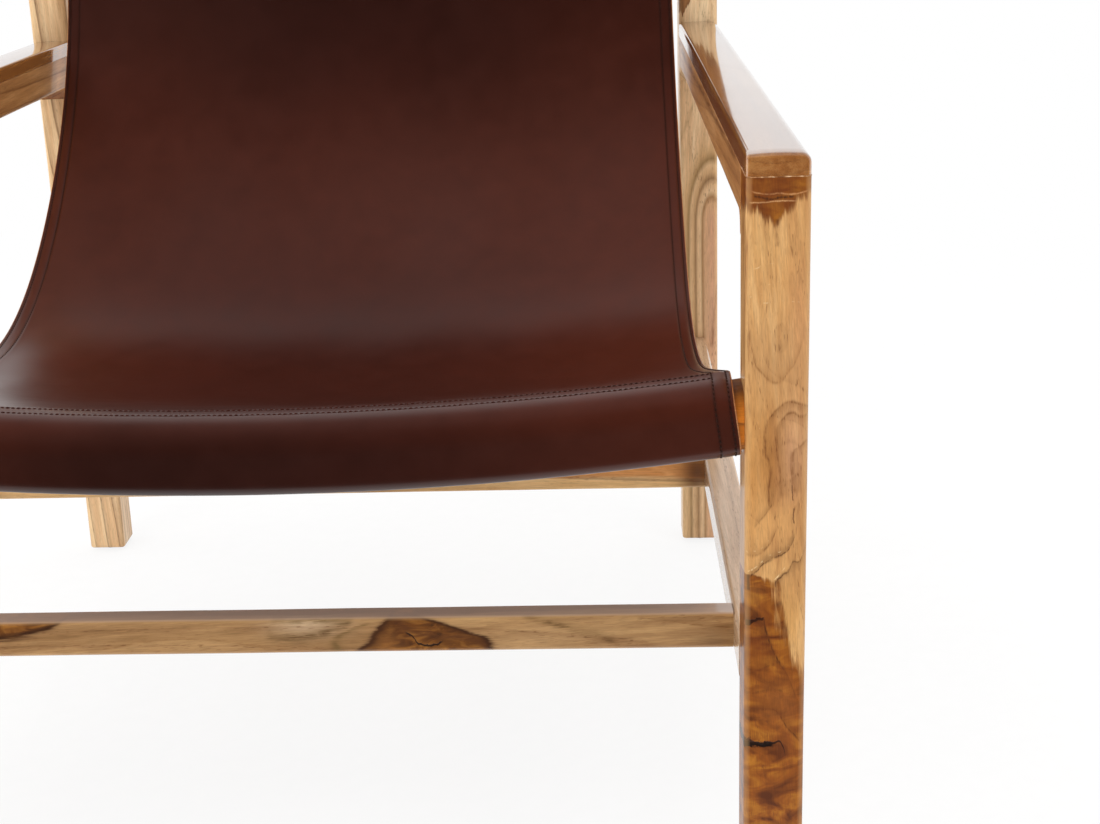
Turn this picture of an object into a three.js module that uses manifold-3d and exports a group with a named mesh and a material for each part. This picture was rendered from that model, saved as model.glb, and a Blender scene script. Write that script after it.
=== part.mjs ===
import * as THREE from 'three';
import { mergeVertices } from 'three/addons/utils/BufferGeometryUtils.js';
import Module from 'manifold-3d';

// Lounge chair with a hung leather seat: two wooden side frames, four cross members between them
// and one strip of thick leather whose two ends are sewn round the front and the top rail.
// Millimetres, +Z up, the open front faces -Y, origin on the floor under the middle of the chair.

// Overall frame
const overallWidth = 692;
const overallDepth = 771;
const overallHeight = 705;
const legSize = 38;
const edgeRadius = 4;
const softEdge = 1;
const footRound = 2;
const postTopRound = 3;

// Arms
const armTop = 560;
const capThickness = 14;
const capFrontRound = 3;
const armRailHeight = 31;
const armFillet = 14;

// Stretchers
const stretcherTop = 232;
const stretcherHeight = 26;
const sideStretcherWidth = 25;
const crossStretcherDepth = 18;
const stretcherEdge = 2.5;
const frontStretcherSetback = 80;
const midStretcherSetback = 373.5;

// Rails that carry the leather
const railDepth = 34;
const railHeight = 38;
const railRadius = 7;
const railSetback = 3.2;
const frontRailTop = 414;
const frontRailDish = 22;
const topRailDrop = 14;

// Leather strip
const leatherThickness = 2.8;
const leatherSideGap = 4.5;
const leatherBackNarrowing = 3.5;
const layerGap = 0.4;
const flapOverlap = 14;
const seatLowSetback = 400;
const seatLowHeight = 328;
const seatFrontAngle = 17.2 * Math.PI / 180;
const seatFrontPull = 236;
const seatLowPull = 104;
const backLowPull = 160;
const backTopPull = 132;
const backTopLean = 6;
const leatherColumns = 9;
const seatSteps = 9;
const backSteps = 13;

// Joints
const fitGap = 0.3;
const overrun = 1;
const legTenonLength = 16;
const railTenonLength = 20;
const crossTenonLength = 14;
const tenonWidthShare = 0.53;
const tenonHeightShare = 0.6;
const dowelDiameter = 8;
const dowelLength = 22;
const dowelInCap = 8;
const frontDowelSetback = 12;
const rearDowelInset = 30;
const dowelChamfer = 1;

// Foot glides
const glideDiameter = 22;
const glideHeight = 3.5;
const glideEdge = 1;
const glideStemDiameter = 5;
const glideStemLength = 13;

// Facets per rounded quarter and per turned circle
const cornerSteps = 4;
const edgeSteps = 3;
const roundSteps = 20;

// Positions that several pieces share
const sideX = overallWidth / 2;
const frontY = -overallDepth / 2;
const backY = overallDepth / 2;
const innerX = sideX - legSize;
const legCentreX = sideX - legSize / 2;
const legBackY = frontY + legSize;
const postFrontY = backY - legSize;
const capBottom = armTop - capThickness;
const armRailBottom = capBottom - armRailHeight;
const stretcherCentreZ = stretcherTop - stretcherHeight / 2;
const sideStretcherX = innerX + sideStretcherWidth / 2;
const frontRail = {
  y: frontY + railSetback + railDepth / 2,
  z: frontRailTop - railHeight / 2,
};
const topRail = {
  y: backY - railSetback - railDepth / 2,
  z: overallHeight - topRailDrop - railHeight / 2,
};
const leatherHalfWidth = innerX - leatherSideGap;

const materials = {
  wood: { color: 0xc28c54, roughness: 0.55, metalness: 0 },
  leather: { color: 0x3f1f17, roughness: 0.45, metalness: 0 },
  dowel: { color: 0xd9b88a, roughness: 0.7, metalness: 0 },
  glide: { color: 0x2b2a29, roughness: 0.6, metalness: 0 },
};

const wasm = await Module();
wasm.setup();

// Turn a closed triangle geometry into a solid that can be joined or cut.
function solidOf(geometry) {
  const bare = geometry.clone();
  bare.deleteAttribute('normal');
  bare.deleteAttribute('uv');
  const merged = mergeVertices(bare);
  return new wasm.Manifold(new wasm.Mesh({
    numProp: 3,
    vertProperties: Float32Array.from(merged.attributes.position.array),
    triVerts: Uint32Array.from(merged.index.array),
  }));
}

function geometryOf(solid) {
  const mesh = solid.getMesh();
  const geometry = new THREE.BufferGeometry();
  geometry.setAttribute('position', new THREE.BufferAttribute(mesh.vertProperties, mesh.numProp));
  geometry.setIndex(new THREE.BufferAttribute(mesh.triVerts, 1));
  return geometry;
}

function addMesh(group, name, geometry, look) {
  const faceted = geometry.index ? geometry.toNonIndexed() : geometry;
  faceted.deleteAttribute('uv');
  faceted.computeVertexNormals();
  const mesh = new THREE.Mesh(faceted, new THREE.MeshStandardMaterial(materials[look]));
  mesh.name = name;
  group.add(mesh);
}

// Where a point with two cross coordinates and one coordinate along the bar lands in space.
const placeAlong = {
  x: (across, up, along) => [along, across, up],
  y: (up, across, along) => [across, along, up],
  z: (across, deep, along) => [across, deep, along],
};

// Counter-clockwise rectangle outline with one radius per corner, first corner (+, +).
function roundedOutline(width, height, radii, steps) {
  const corners = [[1, 1], [-1, 1], [-1, -1], [1, -1]];
  const points = [];
  corners.forEach(([signU, signV], quarter) => {
    const radius = radii[quarter];
    const centreU = signU * (width / 2 - radius);
    const centreV = signV * (height / 2 - radius);
    for (let step = 0; step <= steps; step += 1) {
      const angle = (quarter + step / steps) * Math.PI / 2;
      points.push([centreU + radius * Math.cos(angle), centreV + radius * Math.sin(angle)]);
    }
  });
  return points;
}

function wallTriangles(ringCount, ringSize) {
  const triangles = [];
  for (let ring = 0; ring < ringCount - 1; ring += 1) {
    for (let k = 0; k < ringSize; k += 1) {
      const next = (k + 1) % ringSize;
      const low = ring * ringSize;
      const high = low + ringSize;
      triangles.push(low + k, low + next, high + next);
      triangles.push(low + k, high + next, high + k);
    }
  }
  return triangles;
}

function indexedGeometry(points, triangles) {
  const geometry = new THREE.BufferGeometry();
  geometry.setAttribute('position', new THREE.Float32BufferAttribute(points.flat(), 3));
  geometry.setIndex(triangles);
  return geometry;
}

// Closed body through a row of outlines that all have the same number of points.
function loft(axis, stations) {
  const rings = stations.map((station) => roundedOutline(
    station.width, station.height, station.radii, station.steps ?? edgeSteps,
  ).map(([u, v]) => placeAlong[axis](station.u + u, station.v + v, station.along)));
  const size = rings[0].length;
  const triangles = wallTriangles(rings.length, size);
  const last = (rings.length - 1) * size;
  for (let k = 1; k < size - 1; k += 1) {
    triangles.push(0, k + 1, k);
    triangles.push(last, last + k, last + k + 1);
  }
  return indexedGeometry(rings.flat(), triangles);
}

// Straight bar with rounded long edges; each end is square or rounded over by its own radius.
function bar(axis, { u, v, width, height, from, to, radii, startRound = 0, endRound = 0 }) {
  const stations = [];
  const addEnd = (end, inward, round) => {
    const count = round > 0 ? edgeSteps : 0;
    const row = [];
    for (let step = 0; step <= count; step += 1) {
      const angle = count ? (step / count) * Math.PI / 2 : Math.PI / 2;
      const inset = round * (1 - Math.sin(angle));
      row.push({
        u,
        v,
        along: end + inward * round * (1 - Math.cos(angle)),
        width: width - 2 * inset,
        height: height - 2 * inset,
        radii: radii.map((radius) => Math.max(radius - inset, radius / 4)),
      });
    }
    return row;
  };
  stations.push(...addEnd(from, 1, startRound));
  stations.push(...addEnd(to, -1, endRound).reverse());
  return loft(axis, stations);
}

const evenRadii = (radius) => [radius, radius, radius, radius];

// Square-edged block: a tenon, or with a gap the mortise that takes it.
function block(axis, { u, v, width, height, from, to }, gap = 0) {
  const low = Math.min(from, to);
  const high = Math.max(from, to);
  const shape = new THREE.BoxGeometry(width + 2 * gap, height + 2 * gap, high - low + 2 * gap);
  const position = shape.attributes.position;
  const points = [];
  for (let k = 0; k < position.count; k += 1) {
    points.push(placeAlong[axis](
      u + position.getX(k), v + position.getY(k), (low + high) / 2 + position.getZ(k),
    ));
  }
  return solidOf(indexedGeometry(points, Array.from(shape.index.array)));
}

// Short turned pin standing upright.
function pinOf(x, y, low, high, radius, chamfer) {
  const profile = [
    new THREE.Vector2(0, low),
    new THREE.Vector2(radius - chamfer, low),
    new THREE.Vector2(radius, low + chamfer),
    new THREE.Vector2(radius, high - chamfer),
    new THREE.Vector2(radius - chamfer, high),
    new THREE.Vector2(0, high),
  ];
  const turned = new THREE.LatheGeometry(profile, roundSteps);
  turned.rotateX(Math.PI / 2);
  turned.translate(x, y, 0);
  return turned;
}

function boreOf(x, y, low, high, radius) {
  const bore = new THREE.CylinderGeometry(radius, radius, high - low, roundSteps);
  bore.rotateX(Math.PI / 2);
  bore.translate(x, y, (low + high) / 2);
  return solidOf(bore);
}

// Tenons, each described once and used for the tongue and for its mortise.
const sideStretcherTenon = (end) => ({
  u: stretcherCentreZ,
  v: sideStretcherX,
  width: stretcherHeight * tenonHeightShare,
  height: sideStretcherWidth * tenonWidthShare,
  from: end,
  to: end + Math.sign(end) * legTenonLength,
});

const armRailTenon = (end) => ({
  u: armRailBottom + armRailHeight / 2,
  v: legCentreX,
  width: armRailHeight * tenonHeightShare,
  height: legSize * tenonWidthShare,
  from: end,
  to: end + Math.sign(end) * legTenonLength,
});

const railTenon = (rail) => ({
  u: rail.y,
  v: rail.z,
  width: railDepth * tenonWidthShare,
  height: railHeight * tenonHeightShare,
  from: innerX,
  to: innerX + railTenonLength,
});

const crossTenon = (setback) => ({
  u: frontY + setback + crossStretcherDepth / 2,
  v: stretcherCentreZ,
  width: crossStretcherDepth * tenonWidthShare,
  height: stretcherHeight * tenonHeightShare,
  from: innerX,
  to: innerX + crossTenonLength,
});

// A tongue reaches a little back into its own bar so that the two join.
function tongue(axis, tenon) {
  const direction = Math.sign(tenon.to - tenon.from);
  return block(axis, { ...tenon, from: tenon.from - direction * overrun });
}

function mortise(axis, tenon) {
  const direction = Math.sign(tenon.to - tenon.from);
  return block(axis, { ...tenon, from: tenon.from - direction * overrun }, fitGap);
}

const dowelSetbacks = {
  front: frontDowelSetback,
  middle: overallDepth / 2,
  rear: overallDepth - legSize - rearDowelInset,
};
const dowelTop = capBottom + dowelInCap;
const dowelBottom = dowelTop - dowelLength;

function dowelBore(setback) {
  const radius = dowelDiameter / 2 + fitGap;
  return boreOf(legCentreX, frontY + setback, dowelBottom - fitGap, dowelTop + fitGap, radius);
}

function glideBore(y) {
  const radius = glideStemDiameter / 2 + fitGap;
  const top = glideHeight + glideStemLength + fitGap;
  return boreOf(legCentreX, y, glideHeight - overrun, top, radius);
}

// Pieces of the right-hand side frame; the left-hand ones are their mirror images.
function frontLeg() {
  const y = frontY + legSize / 2;
  const stock = bar('z', {
    u: legCentreX,
    v: y,
    width: legSize,
    height: legSize,
    from: glideHeight,
    to: capBottom,
    radii: evenRadii(edgeRadius),
    startRound: footRound,
  });
  return solidOf(stock)
    .subtract(mortise('y', sideStretcherTenon(legBackY)))
    .subtract(mortise('y', armRailTenon(legBackY)))
    .subtract(mortise('x', railTenon(frontRail)))
    .subtract(dowelBore(frontDowelSetback))
    .subtract(glideBore(y));
}

function backPost() {
  const y = backY - legSize / 2;
  const stock = bar('z', {
    u: legCentreX,
    v: y,
    width: legSize,
    height: legSize,
    from: glideHeight,
    to: overallHeight,
    radii: evenRadii(edgeRadius),
    startRound: footRound,
    endRound: postTopRound,
  });
  return solidOf(stock)
    .subtract(mortise('y', sideStretcherTenon(postFrontY)))
    .subtract(mortise('y', armRailTenon(postFrontY)))
    .subtract(mortise('x', railTenon(topRail)))
    .subtract(glideBore(y));
}

// Arm rail: its lower edge runs down into both uprights in a quarter-round hollow.
function armRail() {
  const stations = [];
  const fillet = (end, inward) => {
    const row = [];
    for (let step = 0; step <= edgeSteps + 1; step += 1) {
      const angle = (step / (edgeSteps + 1)) * Math.PI / 2;
      const drop = armFillet * (1 - Math.sin(angle));
      const height = armRailHeight + drop;
      row.push({
        u: capBottom - height / 2,
        v: legCentreX,
        along: end + inward * armFillet * (1 - Math.cos(angle)),
        width: height,
        height: legSize,
        radii: [softEdge, edgeRadius, edgeRadius, softEdge],
      });
    }
    return row;
  };
  stations.push(...fillet(legBackY, 1));
  stations.push(...fillet(postFrontY, -1).reverse());
  return solidOf(loft('y', stations))
    .add(tongue('y', armRailTenon(legBackY)))
    .add(tongue('y', armRailTenon(postFrontY)))
    .subtract(dowelBore(dowelSetbacks.middle))
    .subtract(dowelBore(dowelSetbacks.rear));
}

function armCap() {
  const board = bar('y', {
    u: armTop - capThickness / 2,
    v: legCentreX,
    width: capThickness,
    height: legSize,
    from: frontY,
    to: postFrontY,
    radii: [edgeRadius, softEdge, softEdge, edgeRadius],
    startRound: capFrontRound,
  });
  return Object.values(dowelSetbacks).reduce(
    (solid, setback) => solid.subtract(dowelBore(setback)),
    solidOf(board),
  );
}

function sideStretcher() {
  const stock = bar('y', {
    u: stretcherCentreZ,
    v: sideStretcherX,
    width: stretcherHeight,
    height: sideStretcherWidth,
    from: legBackY,
    to: postFrontY,
    radii: evenRadii(stretcherEdge),
  });
  return solidOf(stock)
    .add(tongue('y', sideStretcherTenon(legBackY)))
    .add(tongue('y', sideStretcherTenon(postFrontY)))
    .subtract(mortise('x', crossTenon(frontStretcherSetback)))
    .subtract(mortise('x', crossTenon(midStretcherSetback)));
}

function withBothTongues(solid, tenon) {
  const mirrored = { ...tenon, from: -tenon.from, to: -tenon.to };
  return solid.add(tongue('x', tenon)).add(tongue('x', mirrored));
}

function crossStretcher(setback) {
  const tenon = crossTenon(setback);
  const stock = bar('x', {
    u: tenon.u,
    v: tenon.v,
    width: crossStretcherDepth,
    height: stretcherHeight,
    from: -innerX,
    to: innerX,
    radii: evenRadii(stretcherEdge),
  });
  return withBothTongues(solidOf(stock), tenon);
}

// The seat edge hangs lower toward the middle of the chair.
const dishAt = (x) => -frontRailDish * (1 - (x / innerX) ** 2);

const columnShares = Array.from({ length: leatherColumns }, (_, column) => (
  2 * column / (leatherColumns - 1) - 1
));

function leatherRail(rail, dish) {
  const places = [-innerX, ...columnShares.map((share) => share * leatherHalfWidth), innerX];
  const stations = places.map((x) => ({
    u: rail.y,
    v: rail.z + dish(x),
    along: x,
    width: railDepth,
    height: railHeight,
    radii: evenRadii(railRadius),
    steps: cornerSteps,
  }));
  return withBothTongues(solidOf(loft('x', stations)), railTenon(rail));
}

// Middle line of the leather, side view: every step keeps a point and its left-hand normal.
function lineStep(y, z, heading) {
  return { y, z, normalY: -Math.sin(heading), normalZ: Math.cos(heading) };
}

// Quarter turn round one corner of a rail; the distance from the rail may change on the way.
function cornerSteps90(rail, signY, signZ, startAngle, turn, startOffset, endOffset) {
  const centreY = rail.y + signY * (railDepth / 2 - railRadius);
  const centreZ = rail.z + signZ * (railHeight / 2 - railRadius);
  const steps = [];
  for (let step = 0; step <= cornerSteps; step += 1) {
    const share = step / cornerSteps;
    const angle = startAngle + turn * share;
    const radius = railRadius + startOffset + (endOffset - startOffset) * share;
    const y = centreY + radius * Math.cos(angle);
    const z = centreZ + radius * Math.sin(angle);
    steps.push(lineStep(y, z, angle + Math.sign(turn) * Math.PI / 2));
  }
  return steps;
}

function curveSteps(start, pullStart, pullEnd, end, count) {
  const curve = new THREE.CubicBezierCurve(start, pullStart, pullEnd, end);
  const steps = [];
  for (let step = 1; step <= count; step += 1) {
    const point = curve.getPoint(step / count);
    const tangent = curve.getTangent(step / count);
    steps.push(lineStep(point.x, point.y, Math.atan2(tangent.y, tangent.x)));
  }
  return steps;
}

const innerOffset = fitGap + leatherThickness / 2;
const outerOffset = innerOffset + leatherThickness + layerGap;

function leatherLine() {
  const quarter = Math.PI / 2;
  const frontFlapY = frontRail.y + railDepth / 2 - railRadius - flapOverlap;
  const topFlapZ = topRail.z - railHeight / 2 + railRadius + flapOverlap;
  const frontTopZ = frontRail.z + railHeight / 2;
  const frontLeave = quarter - seatFrontAngle;
  const leaveRadius = railRadius + outerOffset;
  const leaveY = frontRail.y + railDepth / 2 - railRadius;
  const leave = new THREE.Vector2(
    leaveY + leaveRadius * Math.cos(frontLeave),
    frontTopZ - railRadius + leaveRadius * Math.sin(frontLeave),
  );
  const low = new THREE.Vector2(frontY + seatLowSetback, seatLowHeight);
  const arrive = new THREE.Vector2(
    topRail.y - railDepth / 2 - outerOffset,
    topRail.z - railHeight / 2 + railRadius,
  );
  return [
    lineStep(frontFlapY, frontTopZ + innerOffset, 0),
    ...cornerSteps90(frontRail, 1, 1, quarter, -quarter, innerOffset, innerOffset),
    ...cornerSteps90(frontRail, 1, -1, 0, -quarter, innerOffset, innerOffset),
    ...cornerSteps90(frontRail, -1, -1, -quarter, -quarter, innerOffset, innerOffset),
    ...cornerSteps90(frontRail, -1, 1, -2 * quarter, -quarter, innerOffset, outerOffset),
    lineStep(leaveY, frontTopZ + outerOffset, 0),
    lineStep(leave.x, leave.y, -seatFrontAngle),
    ...curveSteps(
      leave,
      new THREE.Vector2(
        leave.x + seatFrontPull,
        leave.y - seatFrontPull * Math.tan(seatFrontAngle),
      ),
      new THREE.Vector2(low.x - seatLowPull, low.y),
      low,
      seatSteps,
    ),
    ...curveSteps(
      low,
      new THREE.Vector2(low.x + backLowPull, low.y),
      new THREE.Vector2(arrive.x - backTopLean, arrive.y - backTopPull),
      arrive,
      backSteps,
    ),
    ...cornerSteps90(topRail, -1, 1, 2 * quarter, -quarter, outerOffset, innerOffset),
    ...cornerSteps90(topRail, 1, 1, quarter, -quarter, innerOffset, innerOffset),
    ...cornerSteps90(topRail, 1, -1, 0, -quarter, innerOffset, innerOffset),
    ...cornerSteps90(topRail, -1, -1, -quarter, -quarter, innerOffset, innerOffset),
    lineStep(topRail.y - railDepth / 2 - innerOffset, topFlapZ, quarter),
  ];
}

// The hollow of the front rail runs on into the seat and dies out up the back.
function hollowShare(step) {
  const behindSeat = step.y > frontY + seatLowSetback;
  if (!behindSeat) return 1;
  const topRailBottom = topRail.z - railHeight / 2;
  const share = (step.z - seatLowHeight) / (topRailBottom - seatLowHeight);
  const eased = Math.min(Math.max(share, 0), 1);
  return 1 - eased * eased * (3 - 2 * eased);
}

function leatherSling() {
  const line = leatherLine();
  const half = leatherThickness / 2;
  const rings = line.map((step) => {
    const hollow = hollowShare(step);
    const narrowing = leatherBackNarrowing * (1 - hollow);
    const side = (sign) => columnShares.map((share) => {
      const x = share * (leatherHalfWidth - narrowing);
      const depth = dishAt(share * leatherHalfWidth) * hollow;
      return [x, step.y + sign * half * step.normalY, step.z + depth + sign * half * step.normalZ];
    });
    return [...side(1), ...side(-1).reverse()];
  });
  const size = rings[0].length;
  const triangles = wallTriangles(rings.length, size);
  const last = (rings.length - 1) * size;
  for (let column = 0; column < leatherColumns - 1; column += 1) {
    const facing = size - 1 - column;
    triangles.push(column, facing, column + 1);
    triangles.push(column + 1, facing, facing - 1);
    triangles.push(last + column, last + column + 1, last + facing);
    triangles.push(last + column + 1, last + facing - 1, last + facing);
  }
  return indexedGeometry(rings.flat(), triangles);
}

function capDowel(x, setback) {
  return pinOf(x, frontY + setback, dowelBottom, dowelTop, dowelDiameter / 2, dowelChamfer);
}

function footGlide(x, y) {
  const profile = [
    new THREE.Vector2(0, 0),
    new THREE.Vector2(glideDiameter / 2 - glideEdge, 0),
    new THREE.Vector2(glideDiameter / 2, glideEdge),
    new THREE.Vector2(glideDiameter / 2, glideHeight),
    new THREE.Vector2(glideStemDiameter / 2, glideHeight),
    new THREE.Vector2(glideStemDiameter / 2, glideHeight + glideStemLength - glideEdge),
    new THREE.Vector2(glideStemDiameter / 2 - glideEdge, glideHeight + glideStemLength),
    new THREE.Vector2(0, glideHeight + glideStemLength),
  ];
  const turned = new THREE.LatheGeometry(profile, roundSteps);
  turned.rotateX(Math.PI / 2);
  turned.translate(x, y, 0);
  return turned;
}

// The left-hand twin of a right-hand solid.
function mirrored(solid) {
  return solid.mirror([1, 0, 0]);
}

function buildChair() {
  const chair = new THREE.Group();
  chair.name = 'leather_sling_lounge_chair';
  const pair = (name, solid) => {
    addMesh(chair, `${name}_right`, geometryOf(solid), 'wood');
    addMesh(chair, `${name}_left`, geometryOf(mirrored(solid)), 'wood');
  };
  pair('front_leg', frontLeg());
  pair('back_post', backPost());
  pair('arm_rail', armRail());
  pair('arm_cap', armCap());
  pair('side_stretcher', sideStretcher());
  addMesh(chair, 'front_stretcher', geometryOf(crossStretcher(frontStretcherSetback)), 'wood');
  addMesh(chair, 'mid_stretcher', geometryOf(crossStretcher(midStretcherSetback)), 'wood');
  addMesh(chair, 'front_seat_rail', geometryOf(leatherRail(frontRail, dishAt)), 'wood');
  addMesh(chair, 'top_back_rail', geometryOf(leatherRail(topRail, () => 0)), 'wood');
  addMesh(chair, 'leather_sling', leatherSling(), 'leather');
  [['right', 1], ['left', -1]].forEach(([side, sign]) => {
    Object.entries(dowelSetbacks).forEach(([place, setback]) => {
      const dowel = capDowel(sign * legCentreX, setback);
      addMesh(chair, `cap_dowel_${place}_${side}`, dowel, 'dowel');
    });
    const feet = { front: frontY + legSize / 2, rear: backY - legSize / 2 };
    Object.entries(feet).forEach(([place, y]) => {
      addMesh(chair, `foot_glide_${place}_${side}`, footGlide(sign * legCentreX, y), 'glide');
    });
  });
  return chair;
}

export default buildChair();
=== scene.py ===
import math
from functools import partial

import bpy
import numpy as np
from mathutils import Euler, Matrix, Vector, noise


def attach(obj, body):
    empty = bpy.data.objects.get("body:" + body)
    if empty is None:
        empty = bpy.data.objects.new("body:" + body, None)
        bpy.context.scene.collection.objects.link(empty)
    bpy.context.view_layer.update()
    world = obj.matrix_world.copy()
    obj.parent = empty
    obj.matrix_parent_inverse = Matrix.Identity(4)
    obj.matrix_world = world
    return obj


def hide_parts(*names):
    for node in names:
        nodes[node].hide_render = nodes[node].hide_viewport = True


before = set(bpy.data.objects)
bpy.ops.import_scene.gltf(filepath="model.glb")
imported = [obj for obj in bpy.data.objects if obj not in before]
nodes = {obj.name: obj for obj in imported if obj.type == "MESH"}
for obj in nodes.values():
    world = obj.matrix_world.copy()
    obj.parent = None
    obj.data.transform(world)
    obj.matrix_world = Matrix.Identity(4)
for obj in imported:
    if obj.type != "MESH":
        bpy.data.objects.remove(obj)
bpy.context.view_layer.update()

# Lounge chair with a teak frame and one strip of saddle leather hung between a dished front rail and a
# top rail. Lengths in the dictionaries are millimetres, on the same axes as the CAD frame.

mm = 0.001
print("frame loaded:", len(nodes), "nodes")


def linear(hexText):  # sRGB hex to the linear colour that a shader reads
    channels = [int(hexText[k:k + 2], 16) / 255 for k in (1, 3, 5)]
    return [c / 12.92 if c <= 0.04045 else ((c + 0.055) / 1.055) ** 2.4 for c in channels] + [1.0]


modeNames = {"Math": "operation", "VectorMath": "operation", "MapRange": "interpolation_type",
             "Mix": "data_type"}


def addNode(tree, kind, *inputs, stops=None, out=None, **settings):
    # One node with its settings, values and links, handing back one output. The kind may carry its mode,
    # inputs come in the order that the node shows them, and those with names in a dictionary at the end.
    kind, _, mode = kind.partition(" ")
    node = tree.nodes.new(kind if "Node" in kind else f"ShaderNode{kind}")
    if mode:
        setattr(node, modeNames[kind], mode)
    for name, value in settings.items():
        setattr(node, name, value)
    named = inputs[-1] if inputs and isinstance(inputs[-1], dict) else {}
    given = [(node.inputs[name], value) for name, value in named.items()]
    given += zip([socket for socket in node.inputs if socket.enabled], inputs[:-1] if named else inputs)
    for socket, value in given:
        if isinstance(value, bpy.types.NodeSocket):
            tree.links.new(value, socket)
        else:
            socket.default_value = value
    if stops:
        elements = node.color_ramp.elements
        elements[0].position, elements[1].position = stops[0][0], stops[-1][0]
        for place, _ in stops[1:-1]:
            elements.new(place)
        for element, (_, value) in zip(elements, stops):
            element.color = linear(value) if isinstance(value, str) else (value, value, value, 1.0)
    return node.outputs[out] if out else next((socket for socket in node.outputs if socket.enabled), None)


def newMaterial(name):  # the material, what adds its nodes, and the place on the object
    material = bpy.data.materials.new(name)
    material.use_nodes = True
    material.node_tree.nodes.clear()
    add = partial(addNode, material.node_tree)
    return material, add, add("TexCoord", out="Object")


def addPiece(name, points, faces, materials, slot, replaced, faceMaterials=None, sharpAngle=40, **marks):
    mesh = bpy.data.meshes.new(name)
    mesh.from_pydata([tuple(point) for point in points], [], faces)
    for material in materials:
        mesh.materials.append(material)
    if faceMaterials is not None:
        mesh.polygons.foreach_set("material_index", np.asarray(faceMaterials, dtype=np.int32))
    for mark, values in marks.items():
        mesh.attributes.new(mark, "FLOAT", "POINT").data.foreach_set("value", np.asarray(values, dtype=float))
    mesh.validate()
    mesh.shade_smooth()
    mesh.set_sharp_from_angle(angle=math.radians(sharpAngle))
    piece = bpy.data.objects.new(name, mesh)
    bpy.context.scene.collection.objects.link(piece)
    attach(piece, "root")
    if replaced:
        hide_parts(*replaced)
    return piece


# Teak, planed, sanded and given a thin satin lacquer: straight fibres with open pores, growth rings that
# run out over the faces as arches and ovals, and dark heartwood where the sawn bar meets the old core.
teak = {
    "light": "#deb077", "middle": "#cb985e", "deep": "#ad7846", "line": "#6a3a18", "worn": "#e0b27a",
    "heart": "#86481a", "heartDeep": "#57290d", "heartLight": "#a8682c", "endGrain": "#8a5528",
    "wander": 8, "wanderSize": (90, 420),  # how far the fibres bend, and how far apart the slow bends are
    "toneSize": (30, 240), "streakSize": (5, 90), "swirl": (16, 46),  # across and along the fibres, as below
    # really 0.2 and 0.3 mm wide; drawn coarser so that they show
    "fibreSize": (0.8, 26), "poreSize": (0.6, 6),
    "lines": 0.7, "lean": 0.2, "front": -385.5, "wobbleSize": 3.2, "endDark": 0.5,
    # how the heart's edge frays along the fibres, in mm
    "rim": 0.55, "rimWidth": 1.1, "soft": 0.9, "fray": 12,
    "rough": 0.38, "lineRough": 0.48, "gleam": 0.2, "coat": 0.4, "coatRough": 0.12, "coatBend": 1.5,
    "knots": [], "stainsAndPaintedLight": [], "arches": [], "hearts": [], "heartStainsAndPaintedShade": [], "drawn": [], "upper": None,
}


def figure(axes, width, strength, tint, points, **more):  # one line of the grain, drawn through listed points
    return {"axes": axes, "width": width, "strength": strength, "tint": tint, "points": points, "shade": 0.0,
            "reach": 4.5, "ragged": 0.6, "crisp": False, "broken": False, **more}


def bell(add, distance, width):  # 1 on the line, falling off smoothly to 0 beside it
    near = add("Math MULTIPLY", distance, 1 / width)
    return add("Math EXPONENT", add("Math MULTIPLY", add("Math MULTIPLY", near, near), -1.0))


def around(add, place, centre, reach):  # 1 at the centre, falling off smoothly to 0 in an oval
    near = add("Mapping", {
        "Vector": place, "Location": [c * mm for c in centre], "Scale": [r * mm for r in reach],
    }, vector_type="TEXTURE")
    square = add("VectorMath DOT_PRODUCT", near, near)
    return add("Math EXPONENT", add("Math MULTIPLY", square, -1.0))


def beside(add, axes, drawn):  # signed distance in mm from a drawn line, and how far along the line it is
    over, across = drawn["axes"]
    places, values = zip(*drawn["points"])
    least, most = min(values), max(max(values), min(values) + 0.01)
    share = add("MapRange LINEAR", axes[over], places[0] * mm, places[-1] * mm)
    line = add("FloatCurve", {"Value": share})
    knots = line.node.mapping.curves[0].points
    for k, (place, value) in enumerate(zip(places, values)):
        spot = ((place - places[0]) / (places[-1] - places[0]), (value - least) / (most - least))
        if k in (0, len(places) - 1):
            knots[min(k, 1) if len(knots) == 2 else len(knots) - 1].location = spot
        else:
            knots.new(*spot)
    line.node.mapping.update()
    height = add("Math MULTIPLY_ADD", line, (most - least) * mm, least * mm)
    return add("Math MULTIPLY", add("Math SUBTRACT", axes[across], height), 1 / mm), share


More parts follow.
